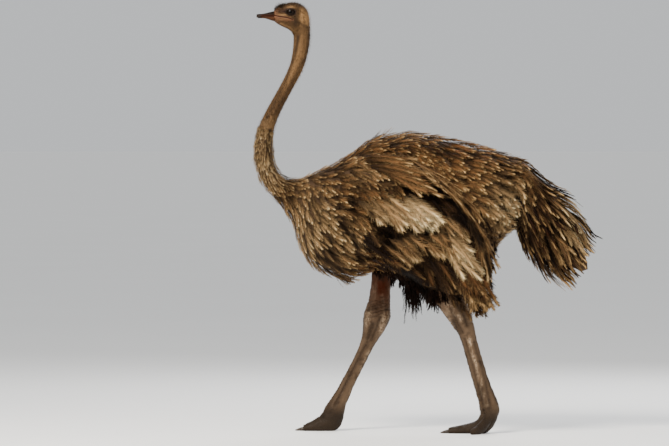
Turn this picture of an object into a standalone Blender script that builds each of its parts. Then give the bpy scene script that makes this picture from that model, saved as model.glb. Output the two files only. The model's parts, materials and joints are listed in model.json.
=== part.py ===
"""A life-size still model of a female ostrich walking, for a museum floor.

Metres, +Z up. The bird faces -X, so its left side is -Y. Its soles stand on Z = 0, and
the origin lies on the floor under the middle of its box. The stations below count X from
a line a little further back, and main() moves the finished pieces onto the origin. Every
piece keeps its outline out to the tips of the feathers.

Most pieces are lofts. A station says where the back line and the belly line of the
bird pass, and how wide it is there, and a smooth curve through the stations gives the
rings of the loft. The head, neck, trunk and tail are one such loft, parted by thin cuts.
"""

import math

import bmesh
import bpy
from mathutils import Vector
from mathutils.bvhtree import BVHTree

# ---------------------------------------------------------------- driving dimensions

CUT = 0.0003            # the thin gap between pieces that meet
FORE_AND_AFT = 0.0102   # from the line the stations are measured from to the box's middle
LEFT, RIGHT = -1, 1     # the sign of Y on each side

# Stations of the body: back line x, z, belly line x, z, and half the width there.
HEAD = [
    (-0.646, 1.757, -0.643, 1.712, 0.0270),   # where the bill joins the face
    (-0.627, 1.776, -0.625, 1.700, 0.0320),
    (-0.602, 1.786, -0.606, 1.690, 0.0375),
    (-0.573, 1.794, -0.592, 1.684, 0.0430),   # over the eyes
    (-0.541, 1.791, -0.580, 1.677, 0.0405),
    (-0.511, 1.770, -0.571, 1.669, 0.0370),
    (-0.496, 1.731, -0.566, 1.661, 0.0345),
]

# The neck is round: the middle x, z and the radius. Its first and last rings are
# shared with the head and the trunk.
NECK = [
    (-0.528, 1.652, 0.0355),
    (-0.533, 1.594, 0.0335),
    (-0.548, 1.530, 0.0305),
    (-0.576, 1.469, 0.0277),
    (-0.611, 1.405, 0.0277),
    (-0.649, 1.333, 0.0298),
    (-0.678, 1.262, 0.0365),   # the down ends and the feathers begin
    (-0.688, 1.190, 0.0435),
    (-0.683, 1.125, 0.0468),
    (-0.661, 1.067, 0.0500),
    (-0.631, 1.032, 0.0545),
]
NECK_ROUNDNESS = 0.93          # width of the neck over its depth
NECK_FEATHERED = 6             # the station where the feathers begin
BODY_STEPS = 2                 # rings for each station of the body's loft

TRUNK = [
    (-0.563, 1.066, -0.627, 0.952, 0.058),   # the foot of the neck
    (-0.526, 1.067, -0.596, 0.908, 0.080),
    (-0.485, 1.090, -0.568, 0.868, 0.115),
    (-0.427, 1.119, -0.553, 0.808, 0.158),   # the breast
    (-0.365, 1.152, -0.535, 0.744, 0.195),
    (-0.302, 1.190, -0.487, 0.682, 0.222),
    (-0.235, 1.242, -0.405, 0.638, 0.244),
    (-0.152, 1.262, -0.312, 0.632, 0.257),
    (-0.069, 1.260, -0.208, 0.668, 0.262),   # the top of the back
    (0.015, 1.256, -0.106, 0.614, 0.262),
    (0.090, 1.245, 0.000, 0.568, 0.256),     # the fluff between the thighs
    (0.170, 1.224, 0.108, 0.598, 0.244),
    (0.256, 1.198, 0.223, 0.702, 0.218),
    (0.331, 1.174, 0.310, 0.800, 0.178),
]

TRUNK_BELLY = 0.10             # how far its widest place sits below the middle

TAIL = [
    (0.381, 1.152, 0.366, 0.846, 0.140),     # where the plumes leave the rump
    (0.440, 1.119, 0.374, 0.815, 0.122),
    (0.506, 1.060, 0.391, 0.758, 0.124),
    (0.581, 1.006, 0.430, 0.696, 0.132),
    (0.646, 0.930, 0.482, 0.640, 0.130),
    (0.683, 0.842, 0.545, 0.606, 0.116),
    (0.7018, 0.768, 0.612, 0.604, 0.078),
]
TAIL_PLUMES = 7                # plume tips round the end of the tail
TAIL_PLUME_LENGTH = 0.030
TAIL_HOLLOW = 0.020            # how far the middle of its end is drawn in

# The tassel of belly feathers that hangs between the thighs: the middle x, z and the
# radius.
TASSEL_SIDES = 10
TASSEL = [
    (-0.040, 0.660, 0.034),
    (-0.046, 0.590, 0.032),
    (-0.056, 0.535, 0.022),
    (-0.066, 0.492, 0.008),
]

UPPER_BILL = [
    (-0.6455, 1.7560, -0.6450, 1.7363, 0.0262),
    (-0.6650, 1.7505, -0.6650, 1.7370, 0.0250),
    (-0.6810, 1.7463, -0.6810, 1.7375, 0.0232),
    (-0.6980, 1.7450, -0.6980, 1.7355, 0.0200),
    (-0.7095, 1.7425, -0.7090, 1.7308, 0.0145),
    (-0.7170, 1.7380, -0.7158, 1.7330, 0.0060),
]
LOWER_BILL = [
    (-0.6440, 1.7350, -0.6435, 1.7130, 0.0250),
    (-0.6650, 1.7357, -0.6650, 1.7205, 0.0235),
    (-0.6810, 1.7360, -0.6810, 1.7255, 0.0208),
    (-0.6960, 1.7340, -0.6960, 1.7272, 0.0160),
    (-0.7030, 1.7315, -0.7030, 1.7280, 0.0090),
]

MOUTH_FRONT = (-0.655, 1.7356)
MOUTH_CORNER = (-0.566, 1.7215)
MOUTH_SLIT = 0.0012
EYE = (-0.574, 0.0232, 1.7515)
EYE_RADIUS = 0.0225
LIDS = (0.0190, 0.0120, 0.0130)     # half the length, depth and height of their opening
LIDS_OUT = 0.0435
EAR = (-0.522, 0.038, 1.730)
EAR_RADIUS = 0.0045
NOSTRIL = (-0.662, 0.0140, 1.7495)
NOSTRIL_RADII = (0.0062, 0.0022, 0.0030)

# The wing: its upper edge x, z and its lower edge x, z at each station from shoulder
# to tip, how far out its outer face is halfway down, and half its thickness.
WING = [
    (-0.340, 1.118, -0.352, 0.985, 0.222, 0.014),
    (-0.262, 1.178, -0.332, 0.850, 0.278, 0.034),
    (-0.165, 1.214, -0.272, 0.748, 0.303, 0.042),
    (-0.058, 1.198, -0.172, 0.690, 0.313, 0.045),
    (0.027, 1.137, -0.070, 0.652, 0.314, 0.045),
    (0.098, 1.054, 0.027, 0.594, 0.311, 0.045),
    (0.172, 0.954, 0.108, 0.535, 0.302, 0.043),
    (0.240, 0.862, 0.181, 0.482, 0.287, 0.038),
    (0.273, 0.785, 0.244, 0.456, 0.272, 0.028),
    (0.289, 0.700, 0.289, 0.530, 0.262, 0.012),
]
WING_PLUMES = 9                # plume tips along its hem
WING_PLUME_LENGTH = 0.016
WING_HANG = 0.12               # how far it comes in again for each metre it hangs
WING_WIDEST = 0.55             # the share of the way down where it is furthest out
WING_FILL = 1.7                # its inner half is this much thicker than its outer half

# Each leg from the hip to the ball of the foot: the middle x, z and half the depth.
NEAR_LEG = [
    (-0.085, 0.765, 0.068),
    (-0.020, 0.690, 0.064),
    (0.050, 0.608, 0.0600),
    (0.106, 0.528, 0.0550),    # the ankle
    (0.138, 0.468, 0.0462),
    (0.158, 0.420, 0.0362),
    (0.172, 0.370, 0.0325),
    (0.188, 0.313, 0.0330),
    (0.208, 0.245, 0.0337),
    (0.229, 0.181, 0.0355),
    (0.245, 0.135, 0.0400),
    (0.255, 0.092, 0.0430),
]
FAR_LEG = [
    (-0.178, 0.800, 0.056),
    (-0.189, 0.700, 0.046),
    (-0.196, 0.620, 0.0425),
    (-0.203, 0.548, 0.0455),
    (-0.212, 0.485, 0.0575),   # the ankle
    (-0.225, 0.442, 0.0505),
    (-0.240, 0.398, 0.0375),
    (-0.260, 0.350, 0.0290),
    (-0.302, 0.265, 0.0268),
    (-0.345, 0.180, 0.0300),
    (-0.371, 0.128, 0.0345),
    (-0.390, 0.088, 0.0430),
]
LEG_Y = (0.125, 0.098, 0.088)  # how far out the hip, the ankle and the foot are
LEG_ROUNDNESS = 0.84

# The big toe of each foot, from the ball forward, in the form of the body's stations.
NEAR_TOE = [
    (0.2130, 0.0815, 0.2970, 0.1025, 0.0360),
    (0.2060, 0.0640, 0.2800, 0.0480, 0.0355),
    (0.1890, 0.0500, 0.2400, -0.004, 0.0330),
    (0.1500, 0.0380, 0.1700, -0.006, 0.0320),
    (0.1120, 0.0300, 0.1160, -0.006, 0.0290),
    (0.0900, 0.0250, 0.0910, -0.004, 0.0240),
    (0.0820, 0.0190, 0.0825, 0.000, 0.0185),
]
FAR_TOE = [
    (-0.4290, 0.1065, -0.3510, 0.0695, 0.0360),
    (-0.4440, 0.0800, -0.3620, 0.0230, 0.0355),
    (-0.4620, 0.0580, -0.3920, -0.005, 0.0330),
    (-0.4880, 0.0410, -0.4560, -0.006, 0.0310),
    (-0.5050, 0.0330, -0.4930, -0.006, 0.0290),
    (-0.5150, 0.0265, -0.5120, -0.004, 0.0245),
    (-0.5235, 0.0200, -0.5205, 0.000, 0.0190),
]
CLAW_LENGTH, CLAW_HEIGHT, CLAW_HALF_WIDTH = 0.040, 0.0175, 0.0150
CLAW_ROOT = 0.006              # how much of it lies inside the toe
CLAW_LIFT = 0.0008             # its underside just clears the floor
CLAW = [(0, 1.0, 1.0), (0.4, 0.92, 0.8), (0.75, 0.62, 0.5), (1, 0.2, 0.2)]
SMALL_TOE_LENGTH = 0.112
SMALL_TOE_OUT = 0.020          # how far out of the big toe's middle it begins
SMALL_TOE_TURN = math.radians(48)    # how far it points out from straight ahead
SMALL_TOE = [                        # along the toe, z, and half its height and width
    (0.00, 0.062, 0.0240, 0.0190),
    (0.30, 0.034, 0.0270, 0.0200),
    (0.62, 0.017, 0.0200, 0.0185),
    (0.86, 0.012, 0.0150, 0.0155),
    (1.00, 0.009, 0.0060, 0.0070),
]

FLATNESS = 0.45                # under 1, and flatter as it falls, for the biting edges
CREASE = math.radians(50)      # edges sharper than this are shaded sharp

# How many points go round each ring, and how many go down each face of a wing.
HEAD_SIDES, NECK_SIDES, BODY_SIDES = 18, 14, 20
BILL_SIDES, LEG_SIDES, TOE_SIDES = 16, 12, 12
WING_STEPS = 8

# How many facets go round and up a ball.
EYE_FACETS, PIT_FACETS = (16, 9), (8, 5)

# ---------------------------------------------------------------- materials

COLOURS = {                          # base colour and roughness
    "plumage_brown": ((0.150, 0.095, 0.055), 0.90),
    "plumage_pale": ((0.300, 0.230, 0.165), 0.90),
    "plumage_dark": ((0.060, 0.042, 0.030), 0.90),
    "neck_down": ((0.200, 0.130, 0.070), 0.85),
    "bare_skin": ((0.170, 0.110, 0.080), 0.60),
    "leg_scale": ((0.130, 0.095, 0.072), 0.55),
    "bill_horn": ((0.220, 0.120, 0.070), 0.45),
    "claw_horn": ((0.045, 0.035, 0.028), 0.40),
    "eye_dark": ((0.012, 0.007, 0.005), 0.08),
}


def material(name):
    """The named material, made the first time it is asked for."""
    found = bpy.data.materials.get(name)
    if found:
        return found
    colour, roughness = COLOURS[name]
    made = bpy.data.materials.new(name)
    made.use_nodes = True
    shader = made.node_tree.nodes["Principled BSDF"]
    shader.inputs["Base Color"].default_value = (*colour, 1.0)
    shader.inputs["Roughness"].default_value = roughness
    shader.inputs["Metallic"].default_value = 0.0
    return made


# ---------------------------------------------------------------- curves and rings


def smooth(stations, steps):
    """Rows read at even steps from a Catmull-Rom curve through the stations."""
    rows = [tuple(float(v) for v in row) for row in stations]
    ends = [tuple(2 * a - b for a, b in zip(rows[0], rows[1]))]
    ends.append(tuple(2 * a - b for a, b in zip(rows[-1], rows[-2])))
    padded = [ends[0], *rows, ends[1]]
    made = []
    for i in range(len(rows) - 1):
        p0, p1, p2, p3 = padded[i:i + 4]
        for step in range(steps):
            t = step / steps
            made.append(tuple(
                0.5 * (2 * b + (c - a) * t + (2 * a - 5 * b + 4 * c - d) * t ** 2
                       + (3 * b - a - 3 * c + d) * t ** 3)
                for a, b, c, d in zip(p0, p1, p2, p3)))
    made.append(rows[-1])
    return made


def oval(top, bottom, half_width, sides, belly=0.0, grow=0.0, flat=None):
    """A ring through top and bottom, as wide as asked for. A belly over 0 moves its
    widest place down, grow makes the ring that much larger all round, and flat names
    a half that is nearly level."""
    middle = (top + bottom) / 2
    up = (top - bottom) / 2
    up += up.normalized() * grow
    out = Vector((0, half_width + grow, 0))
    ring = []
    for i in range(sides):
        turn = 2 * math.pi * i / sides
        rise, across = math.cos(turn), math.sin(turn)
        if flat and (rise < 0) == (flat == "below"):
            rise = math.copysign(abs(rise) ** FLATNESS, rise)
        ring.append(middle + up * rise + out * across * (1 - belly * math.cos(turn)))
    return ring


def rings_from_outline(rows, sides, y=0.0, **section):
    """The rings of rows that hold back x, z, belly x, z and half the width."""
    return [
        oval(Vector((bx, y, bz)), Vector((lx, y, lz)), width, sides, **section)
        for bx, bz, lx, lz, width in rows
    ]


def outline_from_path(path, roundness):
    """Body stations for a round limb that is given by its middle and its radius."""
    made = []
    for i, (x, z, radius) in enumerate(path):
        before, after = path[max(i - 1, 0)], path[min(i + 1, len(path) - 1)]
        along = Vector((after[0] - before[0], 0, after[1] - before[1])).normalized()
        back = Vector((-along.z, 0, along.x)) * radius
        made.append((x + back.x, z + back.z, x - back.x, z - back.z, radius * roundness))
    return made


def middle_of(ring):
    return sum(ring, Vector()) / len(ring)


def set_back(rings, first=CUT / 2, last=CUT / 2):
    """The rings with the first and last ones drawn in along the loft by half a cut, or
    pushed out where a distance is negative."""
    rings = [list(ring) for ring in rings]
    for end, beside, distance in ((0, 1, first), (-1, -2, last)):
        inwards = (middle_of(rings[beside]) - middle_of(rings[end])).normalized()
        rings[end] = [point + inwards * distance for point in rings[end]]
    return rings


# ---------------------------------------------------------------- making objects


def loft_mesh(name, rings, floor=None):
    """A closed mesh through the rings, with a fan on each end. Points under the floor
    are lifted to it, which gives a flat sole."""
    mesh = bmesh.new()
    loops = [[mesh.verts.new(point) for point in ring] for ring in rings]
    for near, far in zip(loops, loops[1:]):
        for i in range(len(near)):
            j = (i + 1) % len(near)
            mesh.faces.new((near[i], near[j], far[j], far[i]))
    for loop in (loops[0], loops[-1]):
        hub = mesh.verts.new(middle_of([vert.co for vert in loop]))
        for i in range(len(loop)):
            mesh.faces.new((loop[i], loop[(i + 1) % len(loop)], hub))
    if floor is not None:
        for vert in mesh.verts:
            vert.co.z = max(vert.co.z, floor)
    bmesh.ops.triangulate(mesh, faces=mesh.faces)
    bmesh.ops.recalc_face_normals(mesh, faces=mesh.faces)
    data = bpy.data.meshes.new(name)
    mesh.to_mesh(data)
    mesh.free()
    data.shade_smooth()
    data.set_sharp_from_angle(angle=CREASE)
    return data


def piece(name, data, finish):
    made = bpy.data.objects.new(name, data)
    bpy.context.scene.collection.objects.link(made)
    data.materials.append(material(finish))
    return made


def cutter(name, data):
    """A helper that only cuts: the build leaves it out."""
    made = bpy.data.objects.new(name, data)
    bpy.context.scene.collection.objects.link(made)
    made.hide_render = True
    made.display_type = "WIRE"
    return made


def cut(target, *tools):
    for tool in tools:
        modifier = target.modifiers.new("cut " + tool.name, "BOOLEAN")
        modifier.operation = "DIFFERENCE"
        modifier.solver = "EXACT"
        modifier.object = tool


def ball_mesh(name, centre, radii, segments, bands):
    mesh = bmesh.new()
    bmesh.ops.create_uvsphere(
        mesh, u_segments=segments, v_segments=bands, radius=1.0)
    for vert in mesh.verts:
        x, y, z = vert.co
        vert.co = Vector(centre) + Vector((x * radii[0], -z * radii[1], y * radii[2]))
    data = bpy.data.meshes.new(name)
    mesh.to_mesh(data)
    mesh.free()
    data.shade_smooth()
    return data


def box_mesh(name, corners):
    """A closed block from four corners in the XZ plane, reaching past both cheeks."""
    reach = 0.06
    sides = [[Vector((x, y, z)) for x, z in corners] for y in (-reach, reach)]
    return loft_mesh(name, sides)


# ---------------------------------------------------------------- head, neck, trunk, tail


def body_rows():
    """The rows of the one long loft for each piece of it. Neighbours share a row."""
    neck = outline_from_path(NECK, NECK_ROUNDNESS)
    rows = smooth([*HEAD, *neck, *TRUNK, *TAIL], BODY_STEPS)
    begins = {
        "head": 0,
        "neck_upper": len(HEAD),
        "neck_middle": len(HEAD) + 3,
        "neck_lower": len(HEAD) + NECK_FEATHERED,
        "trunk": len(HEAD) + len(NECK),
        "tail": len(HEAD) + len(NECK) + len(TRUNK),
    }
    ends = [*list(begins.values())[1:], len(HEAD) + len(NECK) + len(TRUNK) + len(TAIL) - 1]
    return {name: rows[first * BODY_STEPS:last * BODY_STEPS + 1]
            for (name, first), last in zip(begins.items(), ends)}


def head(rows):
    """The head with its mouth line, eye sockets, lid openings and ear pits, and the eyes."""
    made = piece("head", loft_mesh("head", set_back(
        rings_from_outline(rows, HEAD_SIDES, belly=-0.06))), "neck_down")
    (fx, fz), (cx, cz) = MOUTH_FRONT, MOUTH_CORNER
    half = MOUTH_SLIT / 2
    slit = [(fx, fz - half), (cx, cz - half / 3), (cx, cz + half / 3), (fx, fz + half)]
    cut(made, cutter("mouth_slit", box_mesh("mouth_slit", slit)))
    for side, word in ((LEFT, "left"), (RIGHT, "right")):
        eye = (EYE[0], EYE[1] * side, EYE[2])
        eyeball = ball_mesh("eye_" + word, eye, [EYE_RADIUS] * 3, *EYE_FACETS)
        piece("eye_" + word, eyeball, "eye_dark")
        socket = [EYE_RADIUS + CUT] * 3
        opening = (EYE[0], LIDS_OUT * side, EYE[2])
        ear = (EAR[0], EAR[1] * side, EAR[2])
        pit = (EAR_RADIUS, EAR_RADIUS, EAR_RADIUS * 1.4)
        cut(made,
            cutter("socket_" + word, ball_mesh("socket", eye, socket, *EYE_FACETS)),
            cutter("lids_" + word, ball_mesh("lids", opening, LIDS, *EYE_FACETS)),
            cutter("ear_" + word, ball_mesh("ear", ear, pit, *PIT_FACETS)))


def bill():
    """Both halves of the bill, broad and low, each flat where it meets the other."""
    above = {"belly": 0.25, "flat": "below"}
    upper_rows = smooth(UPPER_BILL, 2)
    upper = piece("bill_upper", loft_mesh("bill_upper", set_back(
        rings_from_outline(upper_rows, BILL_SIDES, **above), CUT, 0)), "bill_horn")
    for side, word in ((LEFT, "left"), (RIGHT, "right")):
        place = (NOSTRIL[0], NOSTRIL[1] * side, NOSTRIL[2])
        pit = ball_mesh("nostril", place, NOSTRIL_RADII, *PIT_FACETS)
        cut(upper, cutter("nostril_" + word, pit))
    lower_rings = rings_from_outline(
        smooth(LOWER_BILL, 2), BILL_SIDES, belly=-0.25, flat="above")
    lower = piece("bill_lower", loft_mesh("bill_lower", set_back(
        lower_rings, 3 * CUT, 0)), "bill_horn")
    grown = set_back(rings_from_outline(upper_rows, BILL_SIDES, grow=CUT, **above),
                     -CUT, -CUT)
    cut(lower, cutter("bill_seat", loft_mesh("bill_seat", grown)))


def neck(rows_of):
    for name, finish in (("neck_upper", "neck_down"), ("neck_middle", "neck_down"),
                         ("neck_lower", "plumage_pale")):
        piece(name, loft_mesh(name, set_back(
            rings_from_outline(rows_of[name], NECK_SIDES))), finish)


def trunk(rows):
    """The trunk, and a slightly larger copy of it that cuts the pieces it meets."""
    made = piece("trunk", loft_mesh("trunk", set_back(
        rings_from_outline(rows, BODY_SIDES, belly=TRUNK_BELLY))), "plumage_brown")
    grown = rings_from_outline(rows, BODY_SIDES, belly=TRUNK_BELLY, grow=CUT)
    return made, cutter("trunk_seat", loft_mesh("trunk_seat", set_back(grown, -CUT, -CUT)))


def tail(rows):
    """The drooping tail, whose last rings run out into plume tips."""
    rings = set_back(rings_from_outline(rows, BODY_SIDES, belly=-0.05), CUT / 2, 0)
    along = (middle_of(rings[-1]) - middle_of(rings[-4])).normalized()
    end = middle_of(rings[-1]) - along * TAIL_HOLLOW
    hollow = [end + (point - middle_of(rings[-1])) * 0.5 for point in rings[-1]]
    for back, share in ((1, 1.0), (2, 0.55), (3, 0.2)):
        for i, point in enumerate(rings[-back]):
            lobe = abs(math.cos(TAIL_PLUMES * math.pi * i / BODY_SIDES))
            point += along * TAIL_PLUME_LENGTH * share * (lobe - 0.5)
    piece("tail", loft_mesh("tail", [*rings, hollow]), "plumage_dark")


def tassel(trunk_seat):
    rings = rings_from_outline(smooth(outline_from_path(TASSEL, 1.0), 2), TASSEL_SIDES)
    cut(piece("belly_tassel", loft_mesh("belly_tassel", rings), "plumage_dark"), trunk_seat)


# ---------------------------------------------------------------- wings


def side_of(tree, x, z):
    """How far out the trunk reaches at x, z, or 0 where it isn't."""
    hit = tree.ray_cast(Vector((x, 1.0, z)), Vector((0, -1, 0)))[0]
    return hit.y if hit else 0.0


def wing_ring(tree, row, hem, side):
    """One ring of a wing. It leaves the trunk at its upper edge, curves out to its
    widest place and hangs from there, coming in a little."""
    top = Vector((row[0], 0, row[1]))
    low = Vector((row[2], 0, row[3])) - Vector((0, 0, hem))
    out, thick = row[4] - row[5], row[5]
    edge = min(side_of(tree, top.x, top.z), out) or out * 0.92
    outer, inner = [], []
    for i in range(WING_STEPS + 1):
        share = i / WING_STEPS
        place = top.lerp(low, share)
        curve = math.sin(min(1.0, share / WING_WIDEST) * math.pi / 2)
        below = max(0.0, share - WING_WIDEST) * (top - low).length
        y = edge + (out - edge) * curve - WING_HANG * below
        half = thick * math.sin(math.pi * (0.04 + 0.92 * share)) ** 0.5
        outer.append(Vector((place.x, side * (y + half), place.z)))
        inner.append(Vector((place.x, side * (y - half * WING_FILL), place.z)))
    return outer + inner[::-1]


def wing(word, side, tree, trunk_seat):
    rows = smooth(WING, 2)
    last = len(rows) - 1
    rings = []
    for i, row in enumerate(rows):
        wave = abs(math.sin(WING_PLUMES * math.pi * i / last))
        hem = WING_PLUME_LENGTH * wave * i / last
        rings.append(wing_ring(tree, row, hem, side))
    made = piece("wing_" + word, loft_mesh("wing_" + word, rings), "plumage_pale")
    cut(made, trunk_seat)


# ---------------------------------------------------------------- legs and feet


def spread(share):
    """How far out the leg is, from the hip at 0 through the ankle to the foot at 1."""
    hip, ankle, foot = LEG_Y
    half = 2 * share
    return hip + (ankle - hip) * half if half < 1 else ankle + (foot - ankle) * (half - 1)


def leg_rings(path, side):
    rows = smooth(outline_from_path(path, LEG_ROUNDNESS), 2)
    made = []
    for i, row in enumerate(rows):
        made += rings_from_outline([row], LEG_SIDES, y=side * spread(i / (len(rows) - 1)))
    return made


def leg(word, side, path, ankle, trunk_seat, toe_seat):
    """Drumstick, hock and shank, parted by thin cuts. ankle is the station of the
    ankle in the path. The trunk and the big toe trim the ends."""
    rings = leg_rings(path, side)
    knob = (2 * ankle - 1, 2 * ankle + 3)
    parts = {
        "drumstick_": (rings[:knob[0] + 1], "bare_skin"),
        "hock_": (rings[knob[0]:knob[1] + 1], "leg_scale"),
        "shank_": (rings[knob[1]:], "leg_scale"),
    }
    for start, (part_rings, finish) in parts.items():
        made = piece(start + word, loft_mesh(start + word, set_back(part_rings)), finish)
        if start != "hock_":
            cut(made, trunk_seat if start == "drumstick_" else toe_seat)


def claw(name, base_x, y, seat):
    """A blunt nail that points ahead from base_x and comes down to the floor. The toe's
    seat trims its root."""
    rows = []
    for share, wide, high in CLAW:
        x = base_x - CLAW_LENGTH * share
        top = CLAW_LIFT + CLAW_HEIGHT * high
        rows.append((x, top, x, CLAW_LIFT, CLAW_HALF_WIDTH * wide))
    rings = rings_from_outline(rows, TOE_SIDES, y=y)
    cut(piece(name, loft_mesh(name, rings), "claw_horn"), seat)


def foot(word, side, stations):
    """The two toes of one foot, the big inner one and the small outer one. Returns the
    big toe's seat, which trims what meets it."""
    y = side * LEG_Y[2]
    rows = smooth(stations, 2)
    big = rings_from_outline(rows, TOE_SIDES, y=y, belly=0.12)
    name = "big_toe_" + word
    piece(name, loft_mesh(name, set_back(big, CUT, 0), floor=0.0), "leg_scale")
    grown = rings_from_outline(rows, TOE_SIDES, y=y, belly=0.12, grow=CUT)
    seat = cutter("toe_seat_" + word, loft_mesh("toe_seat", set_back(grown, -CUT, -CUT)))
    claw("big_claw_" + word, middle_of(big[-1]).x + CLAW_ROOT, y, seat)

    start = Vector((middle_of(big[2]).x, y + side * SMALL_TOE_OUT, 0))
    ahead = Vector((-math.cos(SMALL_TOE_TURN), side * math.sin(SMALL_TOE_TURN), 0))
    across = ahead.cross(Vector((0, 0, 1)))
    rings = []
    for share, z, high, wide in smooth(SMALL_TOE, 2):
        middle = start + ahead * SMALL_TOE_LENGTH * share + Vector((0, 0, z))
        rings.append([
            middle + across * wide * math.sin(2 * math.pi * i / TOE_SIDES)
            + Vector((0, 0, high * math.cos(2 * math.pi * i / TOE_SIDES)))
            for i in range(TOE_SIDES)])
    name = "small_toe_" + word
    cut(piece(name, loft_mesh(name, rings, floor=0.0), "leg_scale"), seat)
    return seat


# ---------------------------------------------------------------- the bird


def main():
    for obj in list(bpy.data.objects):
        bpy.data.objects.remove(obj)
    rows_of = body_rows()
    head(rows_of["head"])
    bill()
    neck(rows_of)
    body, trunk_seat = trunk(rows_of["trunk"])
    tail(rows_of["tail"])
    tassel(trunk_seat)
    tree = BVHTree.FromPolygons([vert.co for vert in body.data.vertices],
                                [face.vertices for face in body.data.polygons])
    for word, side in (("left", LEFT), ("right", RIGHT)):
        wing(word, side, tree, trunk_seat)
    leg("left", LEFT, NEAR_LEG, 3, trunk_seat, foot("left", LEFT, NEAR_TOE))
    leg("right", RIGHT, FAR_LEG, 4, trunk_seat, foot("right", RIGHT, FAR_TOE))
    for obj in bpy.data.objects:
        obj.location.x = FORE_AND_AFT


main()
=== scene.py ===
# %% [markdown]
# # A walking ostrich hen, life size
# The frame holds plain solids: a head, a neck in three lengths, a trunk, a tail, two wings and two
# legs. They give every outline out to the tips of the feathers. This lesson puts one skin inside
# them, sculpts the face, and then grows the coat over the skin, feather by feather.

# %% Load the frame
import json
import math

import bpy
import numpy as np
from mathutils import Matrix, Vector, noise
from mathutils.bvhtree import BVHTree

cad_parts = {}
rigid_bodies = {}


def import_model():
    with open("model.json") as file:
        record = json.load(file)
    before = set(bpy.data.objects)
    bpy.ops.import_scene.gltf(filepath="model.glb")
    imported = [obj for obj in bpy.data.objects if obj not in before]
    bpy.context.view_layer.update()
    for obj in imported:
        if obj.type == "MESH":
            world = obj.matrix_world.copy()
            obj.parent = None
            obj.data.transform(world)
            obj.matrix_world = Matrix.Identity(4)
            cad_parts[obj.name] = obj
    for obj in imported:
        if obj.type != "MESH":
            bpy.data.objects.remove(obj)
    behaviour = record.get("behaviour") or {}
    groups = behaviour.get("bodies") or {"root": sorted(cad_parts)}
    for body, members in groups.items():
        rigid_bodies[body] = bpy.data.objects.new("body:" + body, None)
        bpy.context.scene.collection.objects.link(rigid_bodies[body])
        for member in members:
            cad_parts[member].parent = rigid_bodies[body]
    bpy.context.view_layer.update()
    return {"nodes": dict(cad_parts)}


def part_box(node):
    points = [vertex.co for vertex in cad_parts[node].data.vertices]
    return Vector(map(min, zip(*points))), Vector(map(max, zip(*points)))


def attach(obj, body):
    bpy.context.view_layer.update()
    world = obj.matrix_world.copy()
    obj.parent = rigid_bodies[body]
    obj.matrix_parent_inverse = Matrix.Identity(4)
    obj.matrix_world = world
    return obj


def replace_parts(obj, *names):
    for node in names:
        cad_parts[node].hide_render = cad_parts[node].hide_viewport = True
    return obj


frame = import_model()
SIDES = {"left": -1, "right": 1}
rng = np.random.default_rng(41)

# %% [markdown]
# ## Floor, light and camera
# The bird stands on a plain pale floor. A big soft lamp from above and in front is the sky, a
# second one fills the flank from the tail's side, a third lights the far side, and a pale world
# fills the rest. The camera is far away with a long lens, a little above the back, because that
# is how a bird this shy is seen. All of this comes first, so that each piece can be looked at as
# soon as it is made.

# %% Floor, light and camera
CAMERA_PLACE, CAMERA_AIM, CAMERA_LENS = (-0.3815, -20.0, 1.25), (-0.3815, 0.0, 0.873), 258.0
FLOOR_SIDE, LAMPS_AIM = 600.0, (-0.1, 0, 0.95)
LAMPS = {                      # place, side of the square, watts, colour
    "sky": ((-2.4, -3.6, 4.4), 1.8, 640, (1.0, 0.95, 0.87)),
    "fill": ((3.6, -3.0, 2.0), 2.6, 70, (1.0, 0.93, 0.84)),
    "rim": ((1.2, 3.6, 3.6), 2.4, 200, (0.95, 0.97, 1.0)),
}


def place_in_scene(name, data):
    made = bpy.data.objects.new(name, data)
    bpy.context.scene.collection.objects.link(made)
    return made


def aim(thing, place, target):
    thing.location = place
    thing.rotation_euler = (Vector(target) - Vector(place)).to_track_quat("-Z", "Y").to_euler()


camera = place_in_scene("camera", bpy.data.cameras.new("camera"))
camera.data.lens, camera.data.clip_end = CAMERA_LENS, 1000
aim(camera, CAMERA_PLACE, CAMERA_AIM)
bpy.context.scene.camera = camera
for name, (place, side, watts, colour) in LAMPS.items():
    lamp = place_in_scene(name, bpy.data.lights.new(name, "AREA"))
    lamp.data.size, lamp.data.energy, lamp.data.color = side, watts, colour
    aim(lamp, place, LAMPS_AIM)
world = bpy.context.scene.world = bpy.data.worlds.new("studio")
world.use_nodes = True
backdrop = world.node_tree.nodes["Background"].inputs
backdrop["Color"].default_value, backdrop["Strength"].default_value = (0.78, 0.80, 0.82, 1), 0.85
print("lamps:", list(LAMPS))

# %% [markdown]
# ## Node trees written as sums
# A shader or a Geometry Nodes tree is hard to read as a list of nodes and links. One small class
# stands for an output of a node, so that `1 - mask` or `along * 2` adds the Math node by itself.
# An expression with a vector in it adds a Vector Math node. Every other node comes from `node`.

# %% Sockets that can be added and multiplied
VECTORS = ("VECTOR", "ROTATION", "RGBA")


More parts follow.
